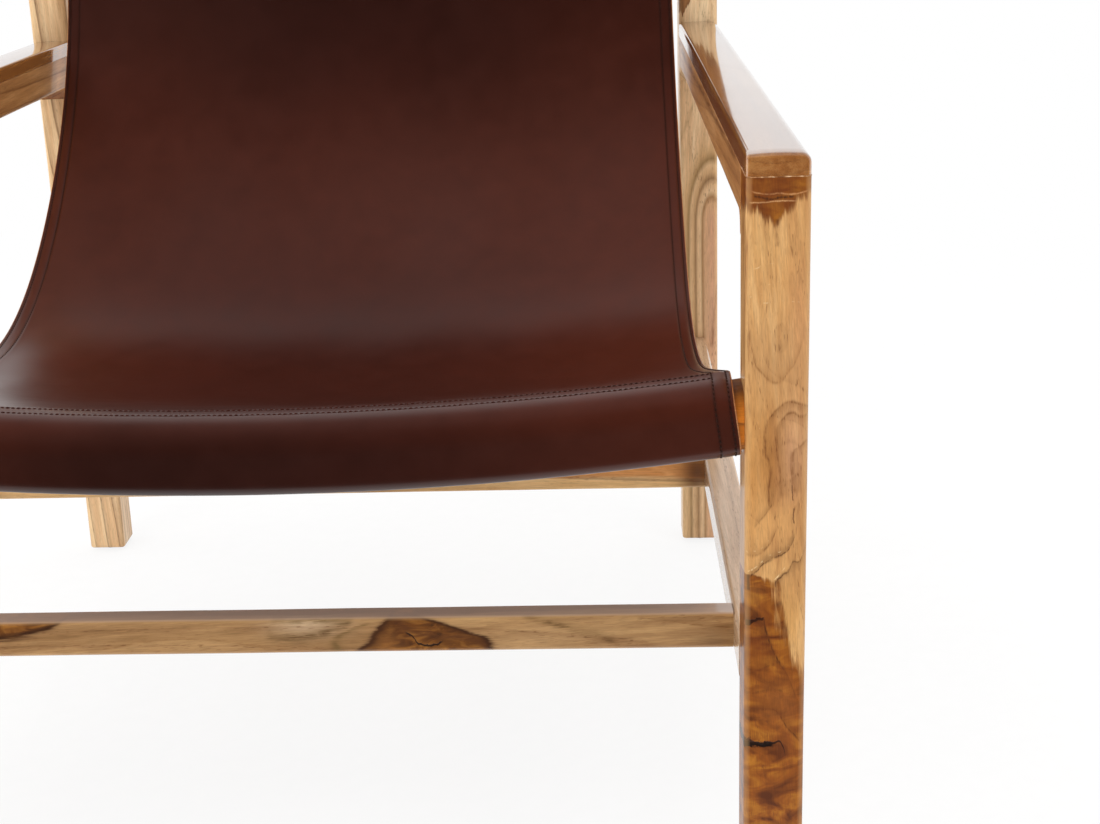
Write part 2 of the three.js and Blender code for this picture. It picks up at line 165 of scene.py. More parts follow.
def drawnMark(add, axes, wobble, swirl, fibre, drawn):  # how strongly a drawn line of the grain shows
    distance, share = beside(add, axes, drawn)
    distance = add("Math MULTIPLY_ADD", wobble, drawn["ragged"], distance)
    if drawn["crisp"]:
        mark = add("MapRange SMOOTHSTEP", bell(add, distance, drawn["width"]), 0.3, 0.6)
    else:  # a growth line is stronger in some stretches than in others
        stretches = add("MapRange SMOOTHSTEP", swirl, 0.35, 0.6, 0.5, 1.0)
        mark = add("Math MULTIPLY", bell(add, distance, drawn["width"]), stretches)
        mark = add("Math MULTIPLY", mark, add("MapRange SMOOTHSTEP", fibre, 0.36, 0.56, 0.45, 1.0))
    if drawn["broken"]:
        mark = add("Math MULTIPLY", mark, add("MapRange SMOOTHSTEP", wobble, 0.0, 0.25))
    shade = drawn["shade"]
    if shade:  # early wood beside a growth line darkens slowly toward it on one side only
        sided = add("MapRange SMOOTHSTEP", add("Math MULTIPLY", distance, math.copysign(1, shade)), -0.5, 0.4)
        soft = add("Math MULTIPLY", sided, bell(add, distance, drawn["reach"]))
        mark = add("Math MAXIMUM", mark, add("Math MULTIPLY", soft, abs(shade)))
    fromMiddle = add("Math ABSOLUTE", add("Math SUBTRACT", share, 0.5))
    fade = add("MapRange SMOOTHSTEP", fromMiddle, 0.4, 0.5, 1.0, 0.0)
    return add("Math MULTIPLY", add("Math MULTIPLY", mark, fade), drawn["strength"])


def teakMaterial(name, cut):
    look = {**teak, **cut}
    material, add, place = newMaterial(name)
    turn = [math.radians(angle) for angle in look["turn"]]
    centre = [c * mm for c in look["centre"]]

    def inGrain(source, width=1.0, length=1.0):  # a place in the wood's own axes, drawn out along its fibres
        return add("Mapping", {
            "Vector": source, "Location": centre, "Rotation": turn,
            "Scale": (width * mm, width * mm, length * mm),
        }, vector_type="TEXTURE")

    def grainNoise(source, size, detail, out=None, **more):
        return add("TexNoise", {"Vector": inGrain(source, *size), "Scale": 1.0, "Detail": detail, **more},
                   out=out)

    bends = grainNoise(place, look["wanderSize"], 2.0, out="Color")
    amount = look["wander"] * mm
    drift = add("VectorMath MULTIPLY_ADD", bends, (amount,) * 3, (-amount / 2,) * 3)
    bent = add("VectorMath ADD", place, drift)
    crossCut = add("VectorMath MULTIPLY", inGrain(bent), (1.0, 1.0, 0.0))
    growth = add("VectorMath DISTANCE", crossCut, (*look["pith"], 0.0))
    for spot, reach, push in look["knots"]:
        growth = add("Math MULTIPLY_ADD", around(add, bent, spot, reach), push, growth)

    uneven = add("TexNoise", {"W": growth, "Scale": 0.38 / look["ring"], "Detail": 1.0},
                 noise_dimensions="1D")
    years = add("Math MULTIPLY_ADD", uneven, 1.6, add("Math MULTIPLY", growth, 1.0 / look["ring"]))
    yearMark = add("TexWhiteNoise", {"W": add("Math FLOOR", years)}, noise_dimensions="1D")
    lateWood = add("ValToRGB", {"Fac": add("Math FRACT", years)},
                   stops=[(0.0, 0.0), (0.45, 0.07), (0.8, 0.38), (0.93, 1.0), (1.0, 0.0)])
    strong = add("MapRange SMOOTHSTEP", yearMark, 0.0, 1.0, 0.3 * look["lines"], look["lines"])
    ringMark = add("Math MULTIPLY", lateWood, strong)

    tone = grainNoise(bent, look["toneSize"], 3.0, Roughness=0.55)
    streak = grainNoise(bent, look["streakSize"], 3.0, Roughness=0.6)
    mixed = add("Math MULTIPLY_ADD", streak, 0.45, add("Math MULTIPLY", tone, 0.55))
    colour = add("ValToRGB", {"Fac": mixed}, stops=[
        (0.38, look["light"]), (0.5, look["middle"]), (0.64, look["deep"])])
    fibre = grainNoise(bent, look["fibreSize"], 3.0, Roughness=0.6)
    pore = grainNoise(bent, look["poreSize"], 0.0)
    openPores = add("MapRange SMOOTHSTEP", lateWood, 0.0, 1.0, 0.16, 0.6)
    poreMark = add("Math MULTIPLY", add("MapRange SMOOTHSTEP", pore, 0.64, 0.74), openPores)
    rough = add("TexNoise", {"Vector": place, "Scale": 1000 / look["wobbleSize"], "Detail": 2.0})
    wobble = add("Math SUBTRACT", rough, 0.5)
    swirl = grainNoise(bent, look["swirl"], 3.0, Distortion=1.4)
    # patches of other colour: stains, and on some pieces painted light and painted shade, as noted there
    for spot, reach, strength, tint in look["stainsAndPaintedLight"]:
        patch = add("Math MULTIPLY", around(add, bent, spot, reach), strength)
        colour = add("Mix RGBA", patch, colour, linear(tint))
    colour = add("Mix RGBA", ringMark, colour, linear(look["line"]))

    split = add("SeparateXYZ", place).node.outputs
    depth = add("Math SUBTRACT", split["Y"], look["front"] * mm)
    bentAt = add("SeparateXYZ", bent).node.outputs
    for arch in look["arches"]:  # cathedral figure: straight lines that close over in nested round tops
        x0, z0 = arch["eye"]
        over = add("Math MAXIMUM", add("Math SUBTRACT", bentAt["Z"], z0 * mm), 0.0)
        over = add("Math MULTIPLY", over, 1 / arch["tall"])
        apart = add("Math SUBTRACT", bentAt["X"], x0 * mm)
        squares = add("Math MULTIPLY_ADD", over, over, add("Math MULTIPLY", apart, apart))
        radius = add("Math MULTIPLY", add("Math SQRT", squares), 1 / (arch["reach"] * mm))
        bands = add("ValToRGB", {"Fac": radius}, stops=arch["bands"])
        least, most = arch["fadeDepths"]  # the figure runs out toward the back of the post
        faded = add("MapRange SMOOTHSTEP", depth, least * mm, most * mm, 1.0, 0.2)
        nearEye = add("MapRange SMOOTHSTEP", radius, 0.7, 1.0, arch["strength"], 0.0)
        shown = add("Math MULTIPLY", nearEye, faded)
        colour = add("Mix RGBA", shown, colour, bands)

    axes = {"x": split["X"], "y": split["Y"],
            "z": add("Math MULTIPLY_ADD", depth, look["lean"], split["Z"])}  # figure leans through the depth
    heart = None
    for region in look["hearts"]:
        inside = None
        for edge in region:
            distance = add("Math MULTIPLY", beside(add, axes, edge)[0], edge["side"])
            inside = distance if inside is None else add("Math MINIMUM", inside, distance)
        heart = inside if heart is None else add("Math MAXIMUM", heart, inside)
    if heart is not None:
        heart = add("Math MULTIPLY_ADD", add("Math SUBTRACT", streak, 0.5), look["fray"], heart)
        heart = add("Math MULTIPLY_ADD", add("Math SUBTRACT", fibre, 0.5), look["fray"] / 4, heart)
        heartColour = add("ValToRGB", {"Fac": swirl}, stops=[
            (0.3, look["heartDeep"]), (0.48, look["heart"]), (0.7, look["heartLight"])])
        # patches over the heart: stains, and on the mid stretcher a painted shadow
        for spot, reach, strength, tint in look["heartStainsAndPaintedShade"]:
            patch = add("Math MULTIPLY", around(add, bent, spot, reach), strength)
            heartColour = add("Mix RGBA", patch, heartColour, linear(tint))
        rings = add("Math MULTIPLY", ringMark, 0.8)
        heartColour = add("Mix RGBA", rings, heartColour, linear(look["heartDeep"]))
        within = add("MapRange SMOOTHSTEP", heart, -look["soft"], look["soft"])
        colour = add("Mix RGBA", within, colour, heartColour)
        rim = bell(add, add("Math SUBTRACT", heart, look["rimWidth"] / 2), look["rimWidth"])
        colour = add("Mix RGBA", add("Math MULTIPLY", rim, look["rim"]), colour, linear(look["heartDeep"]))

    fibreTone = add("MapRange LINEAR", fibre, 0.3, 0.72, 1.13, 0.84)
    colour = add("VectorMath SCALE", colour, fibreTone)
    colour = add("Mix RGBA", poreMark, colour, linear(look["line"]))
    height = add("Math MULTIPLY_ADD", fibre, 0.35, add("Math MULTIPLY", poreMark, -0.9))
    for drawn in look["drawn"]:
        mark = drawnMark(add, axes, wobble, swirl, fibre, drawn)
        colour = add("Mix RGBA", mark, colour, linear(drawn["tint"]))
        if drawn["crisp"]:
            height = add("Math MULTIPLY_ADD", mark, -5.0, height)

    normal = add("NewGeometry", out="Normal")
    trunk = Euler(turn).to_matrix() @ Vector((0.0, 0.0, 1.0))
    facing = add("VectorMath DOT_PRODUCT", normal, trunk)
    if look["upper"]:  # painted light on the upper face: shade on the arm caps, a reflection on the front stretcher
        strength, tint, way = look["upper"]
        upward = add("SeparateXYZ", normal, out="Z")
        topPaintedLight = add("MapRange SMOOTHSTEP", upward, 0.5, 0.95, 0.0, strength)
        colour = add("Mix RGBA", topPaintedLight, colour, linear(tint), blend_type=way)
    endGrain = add("MapRange SMOOTHSTEP", add("Math ABSOLUTE", facing), 0.6, 0.95, 0.0, look["endDark"])
    colour = add("Mix RGBA", endGrain, colour, linear(look["endGrain"]), blend_type="MULTIPLY")
    wear = add("Attribute", out="Fac", attribute_name="edgeWear")
    worn = add("Math MULTIPLY", wear, add("Math MULTIPLY", tone, 0.5))
    colour = add("Mix RGBA", worn, colour, linear(look["worn"]))

    bump = add("Bump", {"Height": height, "Strength": 0.5, "Distance": 0.0001})
    base = add("MapRange SMOOTHSTEP", ringMark, 0.0, 1.0, look["rough"], look["lineRough"])
    dull = add("Math MULTIPLY_ADD", fibre, 0.14, base)
    add("OutputMaterial", add("BsdfPrincipled", {
        "Base Color": colour, "Roughness": dull, "Normal": bump, "IOR": 1.5,
        "Specular IOR Level": look["gleam"], "Coat Weight": look["coat"], "Coat Roughness": look["coatRough"],
        "Coat IOR": look["coatBend"],
    }))
    return material


barDetail = {
    "cornerSteps": 6, "flatShares": (0.03, 0.25, 0.5, 0.75, 0.97),
    "endSteps": 4, "stationGap": 12, "hubShare": 0.45,
    # roundings from wornRound up to plainRound are worn in full
    "leastRound": 0.2, "wornRound": 3, "plainRound": 8,
    "uneven": 0.14, "slowSize": 85, "quickSize": 19, "quickShare": 0.3,  # hand planed, never quite flat
}


def roundedRing(width, height, radii):  # rounded rectangle and, per point, how worn the rounding is
    points, wear = [], []
    signs = ((1, 1), (-1, 1), (-1, -1), (1, -1))
    for quarter, (signA, signB) in enumerate(signs):
        for step in range(barDetail["cornerSteps"] + 1):
            share = step / barDetail["cornerSteps"]
            angle = (quarter + share) * math.pi / 2
            radius = radii[quarter]
            points.append((signA * (width / 2 - radius) + radius * math.cos(angle),
                           signB * (height / 2 - radius) + radius * math.sin(angle)))
            full = min(1.0, radius / barDetail["wornRound"]) if radius < barDetail["plainRound"] else 0.0
            wear.append(math.sin(math.pi * share) * full)
        follow = (quarter + 1) % 4
        nextAngle = follow * math.pi / 2
        nextA = signs[follow][0] * (width / 2 - radii[follow]) + radii[follow] * math.cos(nextAngle)
        nextB = signs[follow][1] * (height / 2 - radii[follow]) + radii[follow] * math.sin(nextAngle)
        lastA, lastB = points[-1]
        for share in barDetail["flatShares"]:
            points.append((lastA + (nextA - lastA) * share, lastB + (nextB - lastB) * share))
            wear.append(0.0)
    return points, wear


def placeAlong(axis, along, first, second):
    return {"x": (along, first, second), "y": (first, along, second), "z": (first, second, along)}[axis]


def barPiece(node, cut, bar):  # a bar of teak that takes the place of one CAD node
    axis, (start, end) = bar["axis"], bar["span"]
    steps = barDetail["endSteps"]
    stations = []
    for place, inward, rounding in ((start, 1, bar.get("startRound", 0.05)),
                                    (end, -1, bar.get("endRound", 0.05))):
        row = []
        for step in range(steps + 1):
            angle = step / steps * math.pi / 2
            row.append((place + inward * rounding * (1 - math.cos(angle)), rounding * (1 - math.sin(angle))))
        stations.append(row)
    count = max(2, round((end - start) / barDetail["stationGap"]))
    low, high = stations[0][-1][0], stations[1][-1][0]
    middle = [(low + (high - low) * k / count, 0.0) for k in range(1, count)]
    middle = sorted(middle + [(place, 0.0) for place in bar.get("extraStations", ())])
    rows = stations[0] + middle + stations[1][::-1]

    shapeAt = bar.get("shapeAt", lambda along: (0.0, 0.0, 0.0, 0.0))
    centreA, centreB = bar["centre"]
    width, height = bar["size"]
    corners = bar["corners"] if isinstance(bar["corners"], tuple) else (bar["corners"],) * 4
    points, wearMarks, faces = [], [], []

    def addRing(along, inset, share=1.0):
        shiftA, shiftB, growA, growB = shapeAt(along)
        radii = [max(radius - inset, barDetail["leastRound"]) for radius in corners]
        ring, wear = roundedRing(width + growA - 2 * inset, height + growB - 2 * inset, radii)
        for (a, b), worn in zip(ring, wear):
            b -= bar.get("crown", 0.0) * (2 * a / width) ** 2 if b > 0 else inset * bar.get("squareBelow", 0)
            spot = Vector(placeAlong(axis, along, centreA + shiftA + a * share, centreB + shiftB + b * share))
            slow = noise.noise_vector(spot / barDetail["slowSize"]) * barDetail["uneven"]
            quick = noise.noise_vector(spot / barDetail["quickSize"]) * barDetail["uneven"]
            points.append((spot + slow + quick * barDetail["quickShare"]) * mm)
            wearMarks.append(worn * share)
        return len(ring)

    size = 0
    addRing(*rows[0], barDetail["hubShare"])
    for along, inset in rows:
        size = addRing(along, inset)
    addRing(*rows[-1], barDetail["hubShare"])
    ringCount = len(rows) + 2
    for ring in range(ringCount - 1):
        for k in range(size):
            a, b = ring * size + k, ring * size + (k + 1) % size
            faces.append((a, b, b + size, a + size))
    for ring, flip in ((0, True), (ringCount - 1, False)):
        rim = range(ring * size, (ring + 1) * size)
        points.append(sum((Vector(points[k]) for k in rim), Vector()) / size)
        wearMarks.append(0.0)
        hub = len(points) - 1
        for k in rim:
            follow = ring * size + (k - ring * size + 1) % size
            faces.append((follow, k, hub) if flip else (k, follow, hub))
    if axis == "y":  # keeps the faces outward for this order of axes
        faces = [tuple(reversed(face)) for face in faces]
    material = teakMaterial(f"teak, lacquered, {node.replace('_', ' ')}", cut)
    return addPiece(f"{node}_visible", points, faces, [material], "oiled_wood", [node], edgeWear=wearMarks)


side = {"legSize": 38, "legRound": 4, "glide": 3.5, "frontY": -385.5, "backY": 385.5, "legX": 327,
        "innerX": 308, "legBackY": -347.5, "postFrontY": 347.5, "armTop": 560, "capThickness": 14,
        "capBottom": 546, "postTop": 705}
sides = (("right", 1), ("left", -1))

frontLegs = {
    "right": {
        "centre": (327, -366.5, 300), "turn": (4.0, -3.0, 0), "pith": (38, 46), "ring": 7.5, "wander": 7,
        "lines": 0.18,
        "knots": [((340, -388, 375), (17, 26, 30), 14), ((324, -388, 446), (12, 24, 22), -10),
                  ((318, -385, 318), (14, 26, 16), 9), ((326, -386, 204), (17, 30, 24), -12)],
        "hearts": [
            [{"axes": "xz", "side": 1, "points": [
                (306, 529), (309.7, 526.6), (313.2, 525.5), (318.2, 522.3), (322.2, 519.6), (325.7, 516.5),
                (329.2, 521.5), (333.1, 526), (337, 529.9), (341.9, 533.9), (346.5, 538)]}],
            [{"axes": "zx", "side": -1, "points": [
                (221, 349), (227.4, 346.3), (233.1, 343.7), (241.1, 339.5), (248, 336.4), (255.9, 332.2),
                (267.1, 329.6), (273.8, 328.5), (281.7, 325.9), (289.4, 326.4), (293, 323), (296, 315),
                (298, 305)]}]],
        "heart": "#8c4a0a", "heartDeep": "#5a2802", "heartLight": "#b5721c", "rim": 0.3, "rimWidth": 2.5,
        "fray": 22, "soft": 3.6, "swirl": (24, 13), "coat": 0.3,
        "heartStainsAndPaintedShade": [((322, -385, 540), (40, 40, 20), 0.65, "#6b3413"),
                        ((316, -386, 252), (12, 20, 14), 0.6, "#733810"),
                        ((330, -386, 208), (16, 20, 20), 0.45, "#a5642a"),
                        ((313, -386, 282), (7, 20, 11), 0.45, "#8a5a2a"),
                        ((338, -386, 190), (9, 20, 24), 0.4, "#8a4a20")],
        "stainsAndPaintedLight": [((311, -386, 365), (9, 20, 62), 0.6, "#cd9350"),
                   ((334, -386, 262), (9, 20, 26), 0.6, "#cf9c58"),
                   ((341, -386, 455), (8, 20, 40), 0.5, "#c48a5c"),
                   ((318, -386, 505), (10, 20, 16), 0.35, "#d2a468"),
                   ((336, -386, 378), (10, 20, 30), 0.6, "#c39370"),
                   ((324, -386, 434), (24, 20, 26), 0.5, "#b5885a"),
                   ((322, -386, 372), (9, 20, 34), 0.75, "#ad7336"),
                   ((326, -386, 330), (14, 20, 14), 0.7, "#d6a062"),
                   ((328, -386, 300), (16, 20, 9), 0.45, "#d4a266")],
        "drawn": [
            figure("xz", 1.3, 0.69, "#7d4a1e", [
                (308.5, 454), (310.4, 447), (312.2, 441), (314.2, 432.1), (317.8, 427.7), (321.9, 423.3),
                (326, 421.6), (330.1, 423.1), (333.1, 427.9), (336.1, 431.6), (340, 441),
                (343, 454)], shade=0.35),
            figure("zx", 1.01, 0.86, "#74421a", [
                (340, 324.6), (351.4, 322.4), (364.9, 323.4), (377.2, 320.4), (387.2, 319.9),
                (394.9, 320.9), (401, 323.9)], shade=0.25),
            figure("xz", 1.16, 0.92, "#6e3d17", [
                (321.2, 396), (323.6, 400.3), (328.2, 405.2), (334.4, 408.9), (340.5, 407.4),
                (347, 405.5)], shade=-0.4),
            figure("zx", 1.01, 0.74, "#74421a", [
                (345, 330.4), (364.8, 329.1), (377.1, 327.2), (387.1, 326.8), (393.7, 327.8),
                (399, 331)], shade=0.4),
            figure("xz", 1.16, 0.86, "#6e3d17", [
                (327.8, 393.7), (330.3, 398), (336.5, 402.1), (341, 399.5), (346, 401.6)], shade=-0.35),
            figure("zx", 1.16, 0.74, "#74421a", [
                (349, 338.8), (364.6, 336.4), (371.3, 336.3), (376.9, 337), (380.7, 341.4),
                (387, 346.4)], shade=0.4),
            figure("xz", 1.16, 0.86, "#5d310f", [(313.5, 328.5), (319.4, 335.6), (325, 344)], shade=0.35),
            figure("xz", 1.16, 0.69, "#6a3a15", [
                (308.5, 310.5), (315.7, 310.4), (321.6, 315.2), (325.6, 322.2), (328.5, 334)], shade=0.4),
            figure("xz", 0.87, 0.92, "#4a240c", [
                (308.5, 294.6), (315.7, 299.5), (318.7, 303.8), (322.2, 306), (326.7, 308.1),
                (332.7, 311.2), (337, 318), (340, 330)], shade=0.45, ragged=3.4),
            figure("xz", 1.16, 0.86, "#4a240c", [
                (325.5, 288), (327.8, 292.7), (331.8, 297), (335.8, 300.3), (337.6, 305.2),
                (340.8, 304.5), (344, 312), (347, 324)], shade=-0.35, ragged=4.0),
            figure("xz", 1.5, 0.9, "#2c1206", [
                (308, 263), (313.9, 265.8), (316.4, 266.2), (320.5, 267.6)], crisp=1, ragged=6.0),
            figure("zx", 0.87, 0.92, "#4a220a", [
                (234, 331.5), (241.3, 327.3), (249.3, 324.1), (256, 322.1), (262.8, 320.5),
                (269, 319.8)], shade=-0.4),
            figure("xz", 1.3, 0.57, "#57290d", [
                (308.6, 228.6), (316.6, 231.3), (323, 234.2), (328, 236)], shade=0.4, reach=7),
            figure("xz", 1.16, 0.57, "#57290d", [
                (312, 215), (319.4, 216.8), (325.8, 217.8), (333, 214)], shade=0.4, reach=7),
            figure("xz", 1.16, 0.86, "#552609", [
                (308.5, 202), (318.6, 203.9), (326, 203.8), (330.6, 199.1), (335.3, 190.7), (340, 185.4),
                (345, 178)], shade=0.4, reach=7),
            figure("xz", 1.16, 0.69, "#57290d", [
                (326.5, 238.5), (333.1, 231), (336.8, 222.8), (339.7, 214.5),
                (344, 204)], shade=-0.4, reach=7),
            figure("xz", 0.6, 0.85, "#f0d6a4", [
                (307.5, 313), (315.5, 313.2), (321, 318), (325, 326)], ragged=3.0, broken=1),
            figure("xz", 0.6, 0.85, "#f0d6a4", [
                (307.5, 298), (315.5, 302.8), (322, 309), (333, 314), (338, 322)], ragged=3.0, broken=1),
            figure("xz", 0.6, 0.85, "#f0d6a4", [
                (325, 292), (331.5, 300), (337, 308.6), (341, 307.8), (346, 318)], ragged=3.0, broken=1),
            figure("xz", 0.4, 0.6, "#f3dcae", [
                (307.5, 490), (313.4, 491.9), (320.4, 494.3), (327, 494.9)], ragged=2.0, broken=1),
            figure("xz", 0.45, 0.75, "#f3dcae", [
                (320, 481.8), (327.5, 484.2), (335.5, 487.2), (346, 489.4)], ragged=2.0, broken=1),
            figure("xz", 0.5, 0.8, "#f3dcae", [
                (307.5, 474.2), (314.5, 475.6), (322.5, 478.1), (332, 479)], ragged=1.8, broken=1),
            figure("xz", 0.4, 0.5, "#f3dcae", [
                (311, 470.9), (320.5, 471), (331, 471.8), (344.8, 468.1)], ragged=1.6, broken=1),
            figure("xz", 0.45, 0.7, "#cf9560", [
                (310, 538.8), (315.1, 536.6), (320.1, 536), (327, 536.3), (334, 535.6), (339.9, 536.5),
                (345, 538.4)], ragged=1.2),
            figure("xz", 0.4, 0.75, "#dba873", [
                (309, 531.4), (318.1, 531.1), (324.1, 531.8), (332, 531.8), (338, 531.3)], ragged=1.0),
            figure("xz", 0.7, 0.85, "#33150a", [
                (311.5, 535.6), (317, 533.9), (322.1, 533.1), (327, 533.8), (336.5, 534.3)], ragged=1.6),
            figure("zx", 1.0, 0.8, "#5a2c0e", [(504, 326.2), (512, 326.1), (522, 326.3)]),
            figure("zx", 0.35, 0.8, "#f7e6c4", [
                (379, 316.4), (390, 316.8), (397, 315.8), (407, 316.6)], broken=1),
            figure("zx", 0.34, 0.7, "#4a240e", [
                (345, 337.2), (350, 336.8), (356, 336.4)], crisp=1, ragged=1.5),
            figure("zx", 0.34, 0.7, "#4a240e", [
                (330, 337.9), (334, 337.7), (341, 337.5)], crisp=1, ragged=1.5),
            figure("zx", 0.9, 0.8, "#3a1808", [(286, 310.3), (291, 310.2), (297.5, 309.9)], crisp=1),
            figure("xz", 2.3, 0.97, "#120702", [
                (306, 180.6), (312, 179.6), (318, 179.2), (327, 179.3)], crisp=1, ragged=6.5),
            figure("xz", 0.9, 0.9, "#1c0c05", [
                (322, 179), (327, 180), (330.4, 181), (332.2, 178.2), (333.6, 174),
                (334.6, 163)], crisp=1, ragged=1.8),
            figure("xz", 1.4, 0.9, "#1c0c05", [
                (305, 184.6), (309, 183), (314, 180.8), (321, 178)], crisp=1, ragged=7),
            figure("xz", 3.2, 0.5, "#6e3812", [(306, 184), (316, 184.4), (326, 184), (336, 176)])],
    },
    "left": {
        "centre": (-327, -366.5, 240), "turn": (-3.0, 3.5, 40), "pith": (30, -52), "ring": 8.5, "wander": 10,
        "lines": 0.6,
        "knots": [((-330, -388, 420), (18, 26, 40), 20), ((-320, -386, 250), (15, 26, 60), 18)],
        "hearts": [[{"axes": "zx", "side": -1, "points": [
            (0, -334), (60, -330), (118, -324), (150, -330), (170, -341), (182, -350)]}]],
    },
}
for name, sign in sides:
    barPiece(f"front_leg_{name}", frontLegs[name], {
        "axis": "z", "span": (side["glide"], side["capBottom"]),
        "centre": (sign * side["legX"], side["frontY"] + side["legSize"] / 2),
        "size": (side["legSize"], side["legSize"]), "corners": side["legRound"], "startRound": 2,
        "endRound": 0.15,
    })
print("front legs made")


def plainMaterial(name, size, stops, bump, **shader):  # one noise tints and bumps the surface, its size in mm
    material, add, place = newMaterial(name)
    pattern = add("TexNoise", {"Vector": place, "Scale": 1000 / size, "Detail": 2.0})
    colour = add("ValToRGB", {"Fac": pattern}, stops=stops)
    normal = add("Bump", {"Height": pattern, "Strength": bump[0], "Distance": bump[1] * mm})
    add("OutputMaterial", add("BsdfPrincipled", {"Base Color": colour, "Normal": normal, **shader}))
    return material


# Dried wood glue, wiped with a wet rag: a hard uneven amber-white bead left along the joint.
glue = {"thick": (0.16, 0.55), "lumpGap": 4, "fineLump": (0.4, 2.7), "stand": 0.05, "flat": 0.7, "steps": 288,
        "sides": 6, "sway": 0.35, "swayGap": 7, "swayFrom": (5, 0, 0)}


def glueLine(name, centreX, material):  # follows the rounded square of the leg just under its cap
    half = side["legSize"] / 2 + glue["stand"]
    straight = half - side["legRound"]
    centreY = side["frontY"] + side["legSize"] / 2
    route = []
    for k in range(glue["steps"]):
        angle = k / glue["steps"] * 2 * math.pi
        reach = half / max(abs(math.cos(angle)), abs(math.sin(angle)))
        x, y = reach * math.cos(angle), reach * math.sin(angle)
        overX, overY = abs(x) - straight, abs(y) - straight
        if overX > 0 and overY > 0:
            pull = side["legRound"] / math.hypot(overX, overY)
            x = math.copysign(straight + overX * pull, x)
            y = math.copysign(straight + overY * pull, y)
        route.append(Vector((centreX + x, centreY + y, side["capBottom"])))
    points, faces = [], []
    count, sideCount = len(route), glue["sides"]
    share, finer = glue["fineLump"]
    for k, spot in enumerate(route):
        ahead = (route[(k + 1) % count] - route[k - 1]).normalized()
        outward = ahead.cross(Vector((0, 0, 1)))
        fine = share * noise.noise(spot / glue["lumpGap"] * finer)
        lump = 0.5 + 0.5 * noise.noise(spot / glue["lumpGap"]) + fine
        radius = glue["thick"][0] + (glue["thick"][1] - glue["thick"][0]) * min(max(lump, 0), 1)
        sway = glue["sway"] * noise.noise(spot / glue["swayGap"] + Vector(glue["swayFrom"]))
        for j in range(sideCount):
            angle = j / sideCount * 2 * math.pi
            offset = outward * (radius * glue["flat"] * math.cos(angle))
            offset += Vector((0, 0, radius * math.sin(angle) + sway))
            points.append((spot + offset) * mm)
    for k in range(count):
        for j in range(sideCount):
            a, b = k * sideCount + j, k * sideCount + (j + 1) % sideCount
            c, d = (k + 1) % count * sideCount + (j + 1) % sideCount, (k + 1) % count * sideCount + j
            faces.append((a, b, c, d))
    return addPiece(name, points, faces, [material], "oiled_wood", (), sharpAngle=80)


dried = plainMaterial("wood glue, dried bead", 3.125,
                      [(0.35, "#7d4c24"), (0.52, "#b98657"), (0.72, "#e2c49f")], (0.6, 0.2), Roughness=0.35)
for name, sign in sides:
    glueLine(f"glue_line_{name}", sign * side["legX"], dried)
print("glue lines made")

backPosts = {
    "right": {
        "centre": (327, 366.5, 350), "turn": (2.0, 1.5, 0), "pith": (6, 60), "ring": 6.5, "lines": 0.3,
        "light": "#f6d8ac", "middle": "#e9c294", "deep": "#d2a879", "front": 347.5,
        "heart": "#8a5c38", "heartDeep": "#6b4426", "heartLight": "#a87648", "lean": -1.3, "fray": 26,
        "hearts": [[{"axes": "xz", "side": 1, "points": [
            (300, 566), (312, 571), (324, 583), (336, 592), (354, 618)]}]],
        "stainsAndPaintedLight": [((327, 347, 60), (30, 30, 110), 0.7, "#f0cd98"),
                   ((341, 347, 330), (8, 30, 40), 0.5, "#cf9e6a")],
        "arches": [{"eye": (341, 356), "tall": 2.75, "reach": 34, "strength": 0.9, "fadeDepths": (4, 30),
                    "bands": [
            (0.0, "#dca884"), (0.2, "#d9ab80"), (0.27, "#a87b4e"), (0.34, "#e6c296"), (0.42, "#deb588"),
            (0.48, "#99744c"), (0.55, "#d3a878"), (0.63, "#e0b98a"), (0.7, "#9c7a4c"), (0.78, "#c89e6c"),
            (1.0, "#deb57e")]}],
        "drawn": [
            figure("zx", 1.8, 0.7, "#8a5528", [
                (218, 339.8), (228.3, 340.2), (247.4, 341.9), (266.4, 343.7), (290, 347)]),
            figure("xz", 4.5, 0.4, "#8c6d44", [(308, 436), (313.1, 453), (318.1, 466), (324, 482)]),
            figure("zx", 4.0, 0.45, "#94683a", [(0, 322), (60, 324), (130, 321), (200, 323)])],
    },
    "left": {
        "centre": (-327, 366.5, 300), "turn": (-2.0, -2.5, 30), "pith": (-12, -64), "ring": 7.0, "wander": 9,
        "light": "#f4d4a6", "middle": "#e5bd8e", "deep": "#cda272",
        "knots": [((-330, 346, 300), (11, 30, 80), 16)],
    },
}
for name, sign in sides:
    barPiece(f"back_post_{name}", backPosts[name], {
        "axis": "z", "span": (side["glide"], side["postTop"]),
        "centre": (sign * side["legX"], side["backY"] - side["legSize"] / 2),
        "size": (side["legSize"], side["legSize"]), "corners": side["legRound"], "startRound": 2,
        "endRound": 3,
    })
print("back posts made")

armRail = {"bottom": 515, "fillet": 14, "filletSteps": 8, "topRound": 0.8}


def armRailShape(along):  # the lower edge runs down into both uprights in a quarter round
    reach = min(along - side["legBackY"], side["postFrontY"] - along)
    share = max(0.0, 1 - reach / armRail["fillet"])
    drop = armRail["fillet"] * (1 - math.sqrt(max(0.0, 1 - share * share)))
    return (0.0, -drop / 2, 0.0, drop)


